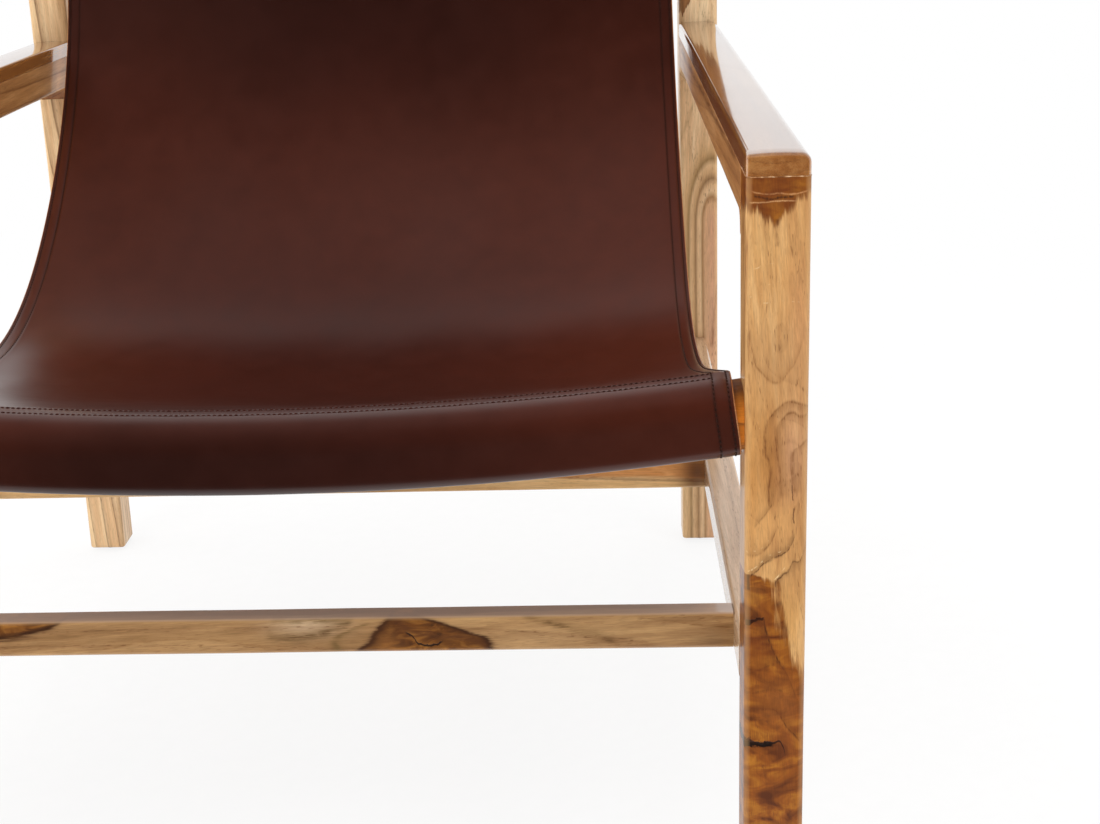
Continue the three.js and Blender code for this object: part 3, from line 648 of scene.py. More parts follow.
armRails = {
    "right": {"centre": (327, 0, 531), "turn": (88.5, 0, 1.0), "pith": (44, 30), "ring": 7.0, "lean": 0.0,
              "light": "#d8a068", "middle": "#c58b53", "deep": "#aa7242", "lines": 0.45, "endDark": 0.0,
              # the pale patch is painted light over the shade in the hollow where the rail runs down into the
              # post
              "stainsAndPaintedLight": [((327, 346, 508), (60, 13, 13), 0.95, "#e6c599")],
              # a dark band along the rail's top, just under the cap
              "drawn": [figure("yz", 3.4, 0.85, "#5f2f0c", [
                  (-352, 545.5), (-260, 543.5), (-130, 541.5), (0, 540), (120, 538), (240, 537),
                  (350, 538)])]},
    "left": {"centre": (-327, 0, 531), "turn": (91, 0, -1.2), "pith": (-40, 36), "ring": 8.0, "lean": 0.0,
             "light": "#d49c64", "middle": "#c08750", "deep": "#a66f40"},
}
for name, sign in sides:
    steps = armRail["filletSteps"]
    fine = [side["legBackY"] + armRail["fillet"] * k / steps for k in range(1, steps + 1)]
    barPiece(f"arm_rail_{name}", armRails[name], {
        "axis": "y", "span": (side["legBackY"], side["postFrontY"]),
        "centre": (sign * side["legX"], (armRail["bottom"] + side["capBottom"]) / 2),
        "size": (side["legSize"], side["capBottom"] - armRail["bottom"]),
        "corners": (armRail["topRound"], armRail["topRound"], side["legRound"], side["legRound"]),
        "shapeAt": armRailShape, "extraStations": fine + [-y for y in fine],
    })

# the upper tint below is painted shade: it darkens the cap's top so that the mirrored light shows over it
capLook = {"light": "#c48a4c", "middle": "#ae7036", "deep": "#925a28", "worn": "#7e4e28", "endDark": 0.32,
           "coat": 1.0, "coatRough": 0.07, "coatBend": 2.2, "gleam": 0.5, "lines": 0.3, "rough": 0.09,
           "lineRough": 0.26, "upper": (1.0, "#bcb4b0", "MULTIPLY")}  # polished until it mirrors what is near
armCaps = {
    "right": {**capLook, "centre": (327, -19, 553), "turn": (89, 0, -2.0), "pith": (10, 52), "ring": 8.0,
              "knots": [((330, -120, 560), (14, 130, 20), 10)]},
    "left": {**capLook, "centre": (-327, -19, 553), "turn": (91, 0, 1.5), "pith": (-14, 50), "ring": 7.5,
             "knots": [((-325, 80, 560), (12, 160, 20), 11)]},
}
capRound = {"outer": 5.5, "inner": 2.4, "below": 0.25, "front": 4.2, "crown": 1.0}
for name, sign in sides:
    upper = (capRound["outer"], capRound["inner"])[::sign]
    barPiece(f"arm_cap_{name}", armCaps[name], {
        "axis": "y", "span": (side["frontY"], side["postFrontY"]),
        "centre": (sign * side["legX"], side["armTop"] - side["capThickness"] / 2),
        "size": (side["legSize"], side["capThickness"]), "startRound": capRound["front"],
        "corners": (*upper, capRound["below"], capRound["below"]), "crown": capRound["crown"],
        "squareBelow": 1,  # only the upper edge of the front end is rounded
    })
print("arms made")

stretcher = {"top": 232, "height": 26, "sideWidth": 25, "crossDepth": 18, "edge": 2.5,
             "setback": {"front": 80, "mid": 373.5}}
sideStretchers = {
    # their pale colours are partly the wood's own and partly a painted reflection of the grazing sheen on
    # their tops
    "right": {"centre": (320, 0, 219), "turn": (91.2, 0, 0.8), "pith": (30, 50), "ring": 9.0, "lean": 0.0,
              "light": "#e6c6a2", "middle": "#d8b48f", "deep": "#c29c77", "coat": 1.0, "lines": 0.3},
    "left": {"centre": (-320, 0, 219), "turn": (88.6, 0, -1.0), "pith": (-26, 54), "ring": 8.0, "lean": 0.0,
             "light": "#e2c09a", "middle": "#d3ad86", "deep": "#bd956c", "coat": 1.0},
}
for name, sign in sides:
    barPiece(f"side_stretcher_{name}", sideStretchers[name], {
        "axis": "y", "span": (side["legBackY"], side["postFrontY"]),
        "centre": (sign * (side["innerX"] + stretcher["sideWidth"] / 2),
                   stretcher["top"] - stretcher["height"] / 2),
        "size": (stretcher["sideWidth"], stretcher["height"]), "corners": stretcher["edge"],
    })

crossStretchers = {
    "front": {
        "centre": (0, -296, 219), "turn": (0, 87.5, 3.0), "pith": (26, 24), "ring": 7.5, "lines": 0.28,
        "light": "#c39a66", "middle": "#ab8254", "deep": "#8f683e", "front": -305.5,
        # the upper tint turns the top face pale grey: a painted reflection
        "coat": 1.0, "lean": 0.5, "upper": (0.75, "#c4aa98", "MIX"),
        "hearts": [
            [{"axes": "zx", "side": 1, "points": [
                (205, 50), (207, 51.9), (215, 60.8), (224.1, 66.6), (233, 74.5)]},
             {"axes": "zx", "side": -1, "points": [
                 (205, 144), (210.4, 142.8), (216.2, 139.5), (219.7, 129.2), (225.7, 114.8),
                 (229.3, 104.6), (233.5, 92)]}],
            [{"axes": "xz", "side": 1, "points": [
                (-260, 236), (-235, 226), (-205, 219), (-175, 223), (-150, 236)]}]],
        "heart": "#74420c", "heartDeep": "#3f1f05", "heartLight": "#a86e28", "rim": 0.9, "rimWidth": 2.4,
        "fray": 10, "swirl": (8, 20),
        "heartStainsAndPaintedShade": [((68, -306, 212), (11, 12, 12), 0.55, "#b27637"),
                        ((83, -306, 222), (7, 12, 10), 0.6, "#5a2f0c"),
                        ((120, -306, 215), (20, 12, 8), 0.4, "#6b3f12")],
        # the greyish brown patch at x 88 is painted shade on the top face, under the seat; the patch at x 298
        # darkens the right end
        "stainsAndPaintedLight": [((298, -306, 212), (18, 20, 8), 0.55, "#7d5f40"),
                   ((18, -306, 227), (24, 20, 8), 0.7, "#d8ba96"),
                   ((-60, -306, 214), (50, 20, 9), 0.4, "#c9a06c"),
                   ((88, -290, 233), (50, 12, 4), 0.5, "#7c6450"),
                   ((180, -306, 215), (40, 12, 9), 0.4, "#c6a071")],
        "drawn": [
            figure("xz", 3.4, 1.0, "#6a4c28", [
                (-14, 219), (3.1, 218.1), (15.8, 219.1), (35.1, 223.4), (51, 232.5)], shade=0.5),
            figure("xz", 3.0, 1.0, "#6f5632", [(-10, 232.6), (29.3, 231.2), (52, 231)]),
            figure("zx", 3.4, 1.0, "#785a30", [
                (206, 38.4), (209.6, 37.3), (215.3, 36.7), (222.1, 45.5), (229, 64)], shade=0.5),
            figure("xz", 2.4, 0.95, "#6f4f28", [
                (162, 232.5), (169.2, 230.6), (187.7, 225.7), (204.1, 219.8), (220.6, 215), (231, 208),
                (233, 204)], shade=0.4),
            figure("xz", 0.8, 0.65, "#744617", [
                (240, 231), (247.8, 229.4), (266.3, 226.8), (282.8, 223.9), (310, 221.4)], shade=0.35),
            figure("zx", 3.0, 1.0, "#4a2608", [
                (202, 47), (207, 51.9), (215, 60.8), (224.1, 66.6), (233, 74.5),
                (236, 77)], shade=0.7, reach=12),
            figure("zx", 3.4, 1.0, "#462408", [
                (202, 147), (210.4, 142.8), (216.2, 139.5), (219.7, 129.2), (225.7, 114.8),
                (229.3, 104.6), (236, 86)], shade=-0.6, reach=9),
            figure("xz", 2.2, 0.9, "#5c3210", [
                (98, 219), (108, 217.5), (120, 217), (131, 214.5), (139, 210), (143, 206)]),
            figure("xz", 2.4, 0.85, "#5c3210", [(76, 233), (82, 227), (90, 222), (97, 220), (104, 222)]),
            figure("xz", 0.85, 0.9, "#241006", [
                (84, 221.5), (90.3, 216.9), (93.3, 212.6), (101.6, 211),
                (111, 215.6)], crisp=1, ragged=3.0),
            figure("xz", 0.8, 0.55, "#7c5022", [
                (-140, 206), (-110, 214), (-70, 218), (-30, 214), (-5, 207)], shade=0.35),
            figure("xz", 0.9, 0.5, "#6b4018", [(-310, 224), (-280, 220), (-255, 226), (-240, 232.5)])],
    },
    "mid": {
        "centre": (0, -3, 219), "turn": (0, 91, -1.0), "pith": (-30, 30), "ring": 9.0, "wander": 6,
        # its pale colours are lifted partly as painted light, against the shade under the seat
        "light": "#edc48c", "middle": "#e0b478", "deep": "#cb9c62", "lean": 0.0,
        # painted shadow over the right end
        "stainsAndPaintedLight": [((300, -12, 220), (13, 30, 26), 0.85, "#5a3317")],
        "hearts": [[{"axes": "xz", "side": 1, "points": [
            (-310, 224), (-100, 220), (100, 220), (220, 218), (308, 214)]}]],
        "heart": "#d08c4a", "heartDeep": "#b8763a", "heartLight": "#e0a05e", "rim": 0.15, "soft": 2.5,
        # the same painted shadow over the heart
        "heartStainsAndPaintedShade": [((300, -12, 220), (13, 30, 26), 0.85, "#5a3317")]},
}
for name, cut in crossStretchers.items():
    barPiece(f"{name}_stretcher", cut, {
        "axis": "x", "span": (-side["innerX"], side["innerX"]),
        "centre": (side["frontY"] + stretcher["setback"][name] + stretcher["crossDepth"] / 2,
                   stretcher["top"] - stretcher["height"] / 2),
        "size": (stretcher["crossDepth"], stretcher["height"]), "corners": stretcher["edge"],
    })

rail = {"depth": 34, "height": 38, "round": 7, "setback": 3.2, "dish": 22, "topZ": 672, "centreZ": 395,
        "upperRound": 5, "browRound": 17}  # the front rail's upper front edge is planed rounder
frontRailY = side["frontY"] + rail["setback"] + rail["depth"] / 2
topRailY = side["backY"] - rail["setback"] - rail["depth"] / 2


def dishAt(x):  # how much lower the seat edge is at x
    return -rail["dish"] * (1 - (x / side["innerX"]) ** 2)


def dishedShape(x):
    return (0.0, dishAt(x), 0.0, 0.0)


leatherRails = {
    "front_seat_rail": {
        "centre": (0, frontRailY, 396), "turn": (0, 91, 2.0), "pith": (34, 44), "ring": 8.0, "lean": 0.0,
        "light": "#bf7830", "middle": "#ad6824", "deep": "#92521a", "coat": 0.1, "gleam": 0.1,
        # at the right end by the leg: painted shade on the top under the leather, and below it a painted
        # lighter orange that lifts the shade
        "stainsAndPaintedLight": [((306, frontRailY - 10, 415), (16, 34, 9), 0.97, "#1f0e07"),
                   ((306, frontRailY - 17, 391), (14, 20, 15), 0.9, "#d2791f")]},
    "top_back_rail": {
        "centre": (0, topRailY, 673), "turn": (0, 89, -2.0), "pith": (-30, 40), "ring": 7.5, "lean": 0.0},
}
frontCorners = (rail["upperRound"], rail["browRound"], rail["round"], rail["upperRound"])
for name, centre, shaped in (
        ("front_seat_rail", (frontRailY, rail["centreZ"]), {"corners": frontCorners, "shapeAt": dishedShape}),
        ("top_back_rail", (topRailY, rail["topZ"]), {"corners": rail["round"]})):
    barPiece(name, leatherRails[name], {
        "axis": "x", "span": (-side["innerX"], side["innerX"]), "centre": centre,
        "size": (rail["depth"], rail["height"]), **shaped,
    })
print("rails and stretchers made")


sling = {
    "thickness": 2.8, "fitGap": 0.3, "layerGap": 0.4, "flapOverlap": 14,
    "lowSetback": 400, "lowHeight": 328, "frontAngle": 17.2, "frontPull": 236, "lowPull": 104,
    "backLowPull": 160, "backTopPull": 132, "backTopLean": 6,
    "halfTop": 301.8, "halfBottom": 306.3, "halfSeat": 303.3, "backNarrowing": 3.3,
    "rollHeights": (372, 418), "seatDepths": (-350, -170),  # heights and depths where the half width changes
    # the leather stands off the dished rail in the middle
    "crestLift": 2.0, "bellyLift": 1.0, "endDroop": 1.3,
    "bellyHeights": (378, 414), "liftDepths": (-350, -150), "underRail": 30, "droopReach": 14,
    "topFlapRise": 8, "arcSteps": 41, "curveSteps": 300, "smoothSteps": 13,
    "crestHeight": 416.5, "crestRoom": 4, "freeFrom": (20, 120), "freeUntil": 90, "lineStep": 0.25,
    "dentHeights": (0.8, 0.5, 0.3), "dentWidths": (66, 31, 19), "dentLengths": (84, 103, 47),
    "puckerGap": 6.4, "puckerHeight": 0.07, "swell": 0.1, "swellFrom": (4, 6), "swellTo": (14, 18),
    "outerRow": 3.3, "innerRow": 12.2, "hemWidth": 15.5, "hemStep": 0.9, "grooveDepth": 0.22,
    "grooveWidth": 1.0, "edgeRound": 0.9, "edgeInset": 0.28, "edgeShare": 0.75, "rowGap": 9.0,
    "rowFromFlapEnd": 5.0,
    "freeStep": 7.5, "bendStep": 2.2, "seamStep": 0.9, "columnStep": 8.0, "nearSeam": 4, "nearWrap": (25, 15),
}
slingEdgeColumns = (0.9, 1.6, 2.3, 2.8, 3.3, 3.8, 4.4, 5.4, 7.0, 8.8, 10.4, 11.2, 11.7, 12.2, 12.7, 13.3,
                    14.2, 15.0, 15.7, 16.6, 18.5, 22.0, 27.0)


def easeIn(value, low, high):
    share = np.clip((value - low) / (high - low), 0, 1)
    return share * share * (3 - 2 * share)


def railCorner(railY, railZ, signY, signZ, startAngle, turn, fromOffset, toOffset, rounding=rail["round"]):
    share = np.linspace(0, 1, sling["arcSteps"])
    angle = startAngle + turn * share
    radius = rounding + fromOffset + (toOffset - fromOffset) * share
    return np.c_[railY + signY * (rail["depth"] / 2 - rounding) + radius * np.cos(angle),
                 railZ + signZ * (rail["height"] / 2 - rounding) + radius * np.sin(angle)]


def pulledCurve(start, pullStart, pullEnd, end):
    t = np.linspace(0, 1, sling["curveSteps"])[:, None]
    given = (start, pullStart, pullEnd, end)
    start, pullStart, pullEnd, end = (np.array(point, dtype=float) for point in given)
    return ((1 - t) ** 3 * start + 3 * (1 - t) ** 2 * t * pullStart + 3 * (1 - t) * t ** 2 * pullEnd
            + t ** 3 * end)


def slingLine():  # middle line of the leather in side view, from the front flap to the top flap
    inner = sling["fitGap"] + sling["thickness"] / 2
    outer = inner + sling["thickness"] + sling["layerGap"]
    quarter = math.pi / 2
    frontZ, topZ = rail["centreZ"], rail["topZ"]
    flatY, flatZ = rail["depth"] / 2 - rail["round"], rail["height"] / 2 - rail["round"]
    angle = math.radians(sling["frontAngle"])
    leaveArc = railCorner(frontRailY, frontZ, 1, 1, quarter, -angle, outer, outer)
    leave = leaveArc[-1]
    low = (side["frontY"] + sling["lowSetback"], sling["lowHeight"])
    arrive = (topRailY - rail["depth"] / 2 - outer, topZ - flatZ)

    def innerCorners(railY, railZ):  # the three corners that the inner layer rounds alike on both rails
        return [railCorner(railY, railZ, signY, signZ, start * quarter, -quarter, inner, inner)
                for signY, signZ, start in ((1, 1, 1), (1, -1, 0), (-1, -1, -1))]

    parts = [
        np.array([[frontRailY + flatY - sling["flapOverlap"], frontZ + rail["height"] / 2 + inner]]),
        *innerCorners(frontRailY, frontZ),
        railCorner(frontRailY, frontZ, -1, 1, -2 * quarter, -quarter, inner, outer, rail["browRound"]),
        leaveArc,
        pulledCurve(leave, (leave[0] + sling["frontPull"], leave[1] - sling["frontPull"] * math.tan(angle)),
                    (low[0] - sling["lowPull"], low[1]), low)[1:],
        pulledCurve(low, (low[0] + sling["backLowPull"], low[1]),
                    (arrive[0] - sling["backTopLean"], arrive[1] - sling["backTopPull"]), arrive)[1:],
        railCorner(topRailY, topZ, -1, 1, 2 * quarter, -quarter, outer, inner),
        *innerCorners(topRailY, topZ),
        np.array([[topRailY - rail["depth"] / 2 - inner, topZ - flatZ + sling["flapOverlap"]]]),
    ]
    points = np.vstack(parts)
    length = np.r_[0, np.cumsum(np.hypot(*np.diff(points, axis=0).T))]
    even = np.arange(0, length[-1], sling["lineStep"])
    y, z = np.interp(even, length, points[:, 0]), np.interp(even, length, points[:, 1])
    headingY, headingZ = np.gradient(y), np.gradient(z)
    window = np.hanning(sling["smoothSteps"])  # takes the kinks out where the arcs and curves meet
    window = window / window.sum()
    margin = sling["smoothSteps"] // 2
    headingY, headingZ = (np.convolve(np.pad(heading, margin, mode="edge"), window, "valid")
                          for heading in (headingY, headingZ))
    size = np.hypot(headingY, headingZ)
    return even, y, z, -headingZ / size, headingY / size


lineAt, lineY, lineZ, lineNormalY, lineNormalZ = slingLine()
lowIndex = int(np.argmin(np.hypot(lineY - (side["frontY"] + sling["lowSetback"]),
                                  lineZ - sling["lowHeight"])))
behind = np.arange(len(lineAt)) > lowIndex
lineHollow = np.where(behind, 1 - easeIn(lineZ, sling["lowHeight"], rail["topZ"] - rail["height"] / 2), 1.0)
crestBand = ~behind & (lineZ > sling["crestHeight"])
crestIndex = int(np.argmax(np.where(crestBand, lineY > frontRailY - sling["crestRoom"], False)))
pastCrest = np.arange(len(lineAt)) > crestIndex
lowOnRoll = 1 - easeIn(lineZ, *sling["rollHeights"])
frontHalf = sling["halfTop"] + (sling["halfBottom"] - sling["halfTop"]) * lowOnRoll
seatHalf = sling["halfTop"] + (sling["halfSeat"] - sling["halfTop"]) * easeIn(lineY, *sling["seatDepths"])
lineHalf = np.where(pastCrest, seatHalf - sling["backNarrowing"] * (1 - lineHollow), frontHalf)
seatLift = sling["crestLift"] * (1 - easeIn(lineY, *sling["liftDepths"]))
bellyRise = easeIn(lineZ, *sling["bellyHeights"])
frontLift = sling["bellyLift"] + (sling["crestLift"] - sling["bellyLift"]) * bellyRise
lineLift = np.where(pastCrest, seatLift, frontLift)
lineLift[lineAt < sling["flapOverlap"] + sling["underRail"]] = 0.0
frontWrapEnd = lineAt[crestIndex]
topWrapStart = lineAt[int(np.argmax(behind & (lineZ > rail["topZ"] - rail["height"] / 2)))]
lineFree = easeIn(lineAt, *(frontWrapEnd + gap for gap in sling["freeFrom"]))
lineFree *= 1 - easeIn(lineAt, topWrapStart - sling["freeUntil"], topWrapStart)
print("leather strip is", round(float(lineAt[-1]), 1), "mm long")


def onLine(values, along):
    return np.interp(along, lineAt, values)


def atFlapRows():  # the two rows that close each pocket, as distances along the strip
    topOfRoll = lineAt[int(np.argmax(pastCrest & (lineY > frontRailY + rail["depth"] / 2 - rail["round"])))]
    flapEnd = topOfRoll - sling["flapOverlap"]
    front = [flapEnd + sling["rowFromFlapEnd"] + k * sling["rowGap"] for k in (0, 1)]
    topFlapEnd = topWrapStart + sling["topFlapRise"] + sling["flapOverlap"]
    top = [topFlapEnd - sling["rowFromFlapEnd"] - k * sling["rowGap"] for k in (0, 1)]
    return front, top


frontRows, topRows = atFlapRows()


def slingSurface(along, across, face):  # point and normal on the grain side (1) or the flesh side (-1)
    y, z = onLine(lineY, along), onLine(lineZ, along)
    normalY, normalZ = onLine(lineNormalY, along), onLine(lineNormalZ, along)
    hollow, half, free = onLine(lineHollow, along), onLine(lineHalf, along), onLine(lineFree, along)
    dish = 1 - (across / side["innerX"]) ** 2
    z = z - rail["dish"] * dish * hollow + onLine(lineLift, along) * dish
    edge = half - np.abs(across)
    crest = np.exp(-((along - lineAt[crestIndex]) / sling["droopReach"]) ** 2)
    z = z - sling["endDroop"] * crest * (1 - easeIn(edge, 0, sling["droopReach"]))
    deep, middling, slight = sling["dentHeights"]  # slow dents of hand-cut leather under its own weight
    wide, medium, narrow = sling["dentWidths"]
    long, longer, short = sling["dentLengths"]
    wave = (deep * np.sin(across / wide + 0.8) * np.sin(along / long + 0.4)
            + middling * np.sin(across / medium + along / longer)
            + slight * np.sin(across / narrow - along / short + 2.0))
    sideRows = (sling["outerRow"], sling["innerRow"])
    groove = sum(np.exp(-((edge - row) / sling["grooveWidth"]) ** 2) for row in sideRows)
    inside = easeIn(edge, sling["innerRow"] - 1, sling["innerRow"] + 1)
    pucker = np.zeros_like(edge)
    for row in (*frontRows, *topRows):
        far = (along - row) / sling["grooveWidth"]
        groove = groove + inside * np.exp(-far ** 2)
        pucker = pucker + inside * np.exp(-(far / 4) ** 2) * np.sin(across * 2 * math.pi / sling["puckerGap"])
    if face > 0:
        rise = (-sling["grooveDepth"] * np.minimum(groove, 1) + sling["puckerHeight"] * pucker
                + sling["swell"] * easeIn(edge, *sling["swellFrom"]) * (1 - easeIn(edge, *sling["swellTo"])))
    else:
        rise = sling["hemStep"] * free * (1 - easeIn(edge, sling["hemWidth"] - 0.5, sling["hemWidth"] + 0.4))
    offset = face * (sling["thickness"] / 2 + rise) + wave * free
    point = np.stack([across, y + normalY * offset, z + normalZ * offset], axis=-1)
    slope = np.stack([np.zeros_like(y), normalY * face, normalZ * face], axis=-1)
    tilt = 2 * rail["dish"] * across / side["innerX"] ** 2 * hollow * np.abs(normalZ)
    slope[..., 0] = -tilt * face * np.sign(normalZ)
    return point, slope / np.linalg.norm(slope, axis=-1, keepdims=True), groove


def slingRows():  # places along the strip, close together at the seams and bends
    place, rows = 0.0, []
    seams = [*frontRows, *topRows]
    while place < lineAt[-1]:
        rows.append(place)
        nearSeam = min(abs(place - seam) for seam in seams) < sling["nearSeam"]
        onWrap = place < frontWrapEnd + sling["nearWrap"][0] or place > topWrapStart - sling["nearWrap"][1]
        place += sling["seamStep"] if nearSeam else sling["bendStep"] if onWrap else sling["freeStep"]
    return np.array(rows + [lineAt[-1]])


def makeSling(materials):
    along = slingRows()
    half = onLine(lineHalf, along)
    centreHalf = sling["halfSeat"] - slingEdgeColumns[-1]
    middle = np.linspace(-1, 1, 2 * round(centreHalf / sling["columnStep"]) + 1)[1:-1]
    left = -half[:, None] + np.array(slingEdgeColumns)[None, :]
    right = -left[:, ::-1]
    centre = middle[None, :] * (half[:, None] - slingEdgeColumns[-1])
    across = np.concatenate([left, centre, right], axis=1)
    grid = np.repeat(along[:, None], across.shape[1], axis=1)
    grain, _, seam = slingSurface(grid, across, 1)
    flesh, _, _ = slingSurface(grid, across, -1)

    def edgeStrip(sign):  # rounded cut edge, three points between the two sides
        x = half * sign
        strip = []
        for share, inset in ((sling["edgeShare"], sling["edgeInset"]), (0.0, 0.0),
                             (-sling["edgeShare"], sling["edgeInset"])):
            point, _, _ = slingSurface(along, x - sign * sling["edgeRound"], 1)
            under, _, _ = slingSurface(along, x - sign * sling["edgeRound"], -1)
            spot = point * (1 + share) / 2 + under * (1 - share) / 2
            spot[:, 0] = x - sign * inset
            strip.append(spot)
        return np.stack(strip, axis=1)

    rightEdge, leftEdge = edgeStrip(1), edgeStrip(-1)[:, ::-1]
    ring = np.concatenate([grain, rightEdge, flesh[:, ::-1], leftEdge], axis=1)
    rowCount, size = ring.shape[:2]
    columns = grain.shape[1]
    grainKind, fleshKind, edgeKind = range(3)  # the order of the materials
    kinds = np.full(size, grainKind)
    kinds[columns - 1:columns + 3] = edgeKind
    kinds[columns + 3:2 * columns + 2] = fleshKind
    kinds[2 * columns + 2:] = edgeKind
    faces, faceKinds = [], []
    for row in range(rowCount - 1):
        for k in range(size):
            a, b = row * size + k, row * size + (k + 1) % size
            faces.append((a, b, b + size, a + size))
            faceKinds.append(kinds[k])
    for row, flip in ((0, True), (rowCount - 1, False)):
        first = row * size
        for k in range(columns - 1):
            under = first + 2 * columns + 2 - k  # the point of the flesh side that lies under this one
            quad = (first + k, first + k + 1, under - 1, under)
            faces.append(tuple(reversed(quad)) if flip else quad)
            faceKinds.append(edgeKind)
        for start in (columns - 1, 2 * columns + 2):
            fan = tuple(first + (start + k) % size for k in range(5))
            faces.append(tuple(reversed(fan)) if flip else fan)
            faceKinds.append(edgeKind)
    seamMark = np.zeros(ring.shape[:2])
    seamMark[:, :columns] = np.minimum(seam, 1)
    return addPiece("leather_strip", ring.reshape(-1, 3) * mm, faces, materials, "saddle_leather",
                    ["leather_sling"], faceKinds, 50, seam=seamMark.ravel())


# Saddle leather, drum dyed dark brown, waxed and rubbed to a satin: smooth, cloudy, with fine pores.
grainLook = {
    "dark": "#2d0e06", "brown": "#371208", "lightened": "#4b1e10", "flank": "#501e0c", "seam": "#1c0b07",
    "scar": "#23100b",
    # a painted highlight on the lower back, set right of the middle; knees have polished the dye a little
    # thinner on the front roll
    "sheenAndRubs": [((90, 190, 415), (400, 230, 95), 0.85), ((-60, -384, 407), (260, 34, 13), 0.5)],
    "flankFrom": (60, 300), "highShadeFrom": (460, 620), "rough": (0.285, 0.33),
    "cloudSize": 170, "mottleSize": 24, "creaseSize": 9, "poreSize": 1.1,  # pores drawn a little coarse
    "scars": [((124, 190, 428), (2.5, 9, 9), 0.4), ((118, -372, 384), (5, 9, 3), 0.25)],
}


def grainLeather():
    material, add, place = newMaterial("saddle leather, waxed grain side")
    cloud = add("TexNoise", {"Vector": place, "Scale": 1000 / grainLook["cloudSize"], "Detail": 4.0,
                             "Roughness": 0.5})
    at = add("SeparateXYZ", place).node.outputs
    colour = add("ValToRGB", {"Fac": cloud}, stops=[
        (0.3, grainLook["dark"]), (0.7, grainLook["brown"])])
    # the first patch is a painted highlight, the second wear
    for spot, reach, strength in grainLook["sheenAndRubs"]:
        lightened = add("Math MULTIPLY", around(add, place, spot, reach), strength)
        colour = add("Mix RGBA", lightened, colour, linear(grainLook["lightened"]))
    sideways = add("Math ABSOLUTE", at["X"])  # the hide is redder toward its flanks
    flank = add("MapRange SMOOTHSTEP", sideways, *(x * mm for x in grainLook["flankFrom"]), 0.0, 0.55)
    colour = add("Mix RGBA", flank, colour, linear(grainLook["flank"]))
    # painted shade: the back darkens toward its top
    highShade = add("MapRange SMOOTHSTEP", at["Z"], *(z * mm for z in grainLook["highShadeFrom"]), 0.0, 0.6)
    colour = add("Mix RGBA", highShade, colour, linear(grainLook["dark"]))
    mottle = add("TexNoise", {"Vector": place, "Scale": 1000 / grainLook["mottleSize"], "Detail": 4.0,
                              "Roughness": 0.6})
    tone = add("MapRange LINEAR", mottle, 0.3, 0.7, 0.9, 1.1)
    colour = add("VectorMath SCALE", colour, tone)
    for spot, reach, strength in grainLook["scars"]:
        scar = add("Math MULTIPLY", around(add, place, spot, reach), strength)
        colour = add("Mix RGBA", scar, colour, linear(grainLook["scar"]))
    seam = add("Attribute", out="Fac", attribute_name="seam")
    colour = add("Mix RGBA", add("Math MULTIPLY", seam, 0.45), colour, linear(grainLook["seam"]))
    pores = add("TexVoronoi", {"Vector": place, "Scale": 1000 / grainLook["poreSize"]})
    creases = add("TexNoise", {"Vector": place, "Scale": 1000 / grainLook["creaseSize"], "Detail": 3.0,
                               "Distortion": 0.6})
    height = add("Math MULTIPLY_ADD", creases, 1.2, add("Math MULTIPLY", pores, 0.6))
    bump = add("Bump", {"Height": height, "Strength": 0.2, "Distance": 0.0001})
    add("OutputMaterial", add("BsdfPrincipled", {
        "Base Color": colour, "Roughness": add("MapRange LINEAR", mottle, 0.3, 0.7, *grainLook["rough"]),
        "Normal": bump, "IOR": 1.46,
    }))
    return material


# Flesh side of the same hide: brushed suede, dull and fuzzy, paler than the dyed face.
fleshLook = {"napSize": 10 / 9, "cloudSize": 500 / 7,
             "colours": [(0.3, "#553426"), (0.42, "#664331"), (0.54, "#75503b")]}


def fleshLeather():
    material, add, place = newMaterial("saddle leather, brushed flesh side")
    nap = add("TexNoise", {"Vector": place, "Scale": 1000 / fleshLook["napSize"], "Detail": 3.0})
    cloud = add("TexNoise", {"Vector": place, "Scale": 1000 / fleshLook["cloudSize"], "Detail": 4.0})
    both = add("Math MULTIPLY_ADD", cloud, 0.3, add("Math MULTIPLY", nap, 0.5))
    colour = add("ValToRGB", {"Fac": both}, stops=fleshLook["colours"])
    bump = add("Bump", {"Height": nap, "Strength": 0.7, "Distance": 0.0003})
    add("OutputMaterial", add("BsdfPrincipled", {
        "Base Color": colour, "Roughness": 0.95, "Normal": bump, "Sheen Weight": 0.25,
        "Sheen Roughness": 0.5,
    }))
    return material


# Cut edge of vegetable-tanned hide, undyed inside: tan and fibrous, its strands drawn coarse to show.
def rawEdgeLeather():
    return plainMaterial("saddle leather, raw cut edge", 5 / 7, [(0.35, "#8a4d28"), (0.65, "#c08550")],
                         (0.6, 0.2), Roughness=0.75)


slingPiece = makeSling([grainLeather(), fleshLeather(), rawEdgeLeather()])
print("leather strip made:", len(slingPiece.data.polygons), "faces")


# Waxed polyester thread, twisted and nearly black: small hard ropes with a dull gleam.
stitch = {"pitch": 3.4, "length": 3.0, "width": 1.0, "slant": 15, "wobble": 6, "seed": 7, "sink": 0.35,
          "bow": 0.55, "rings": 5, "sides": 6, "twistSize": 0.625, "rubbedTint": "#431c12",
          "rubbedReach": (100, 250),
          "flapGap": 24, "crestGap": 22, "topGap": 3, "endGap": 1.5, "sideStep": 1.5, "crossStep": 2.0}


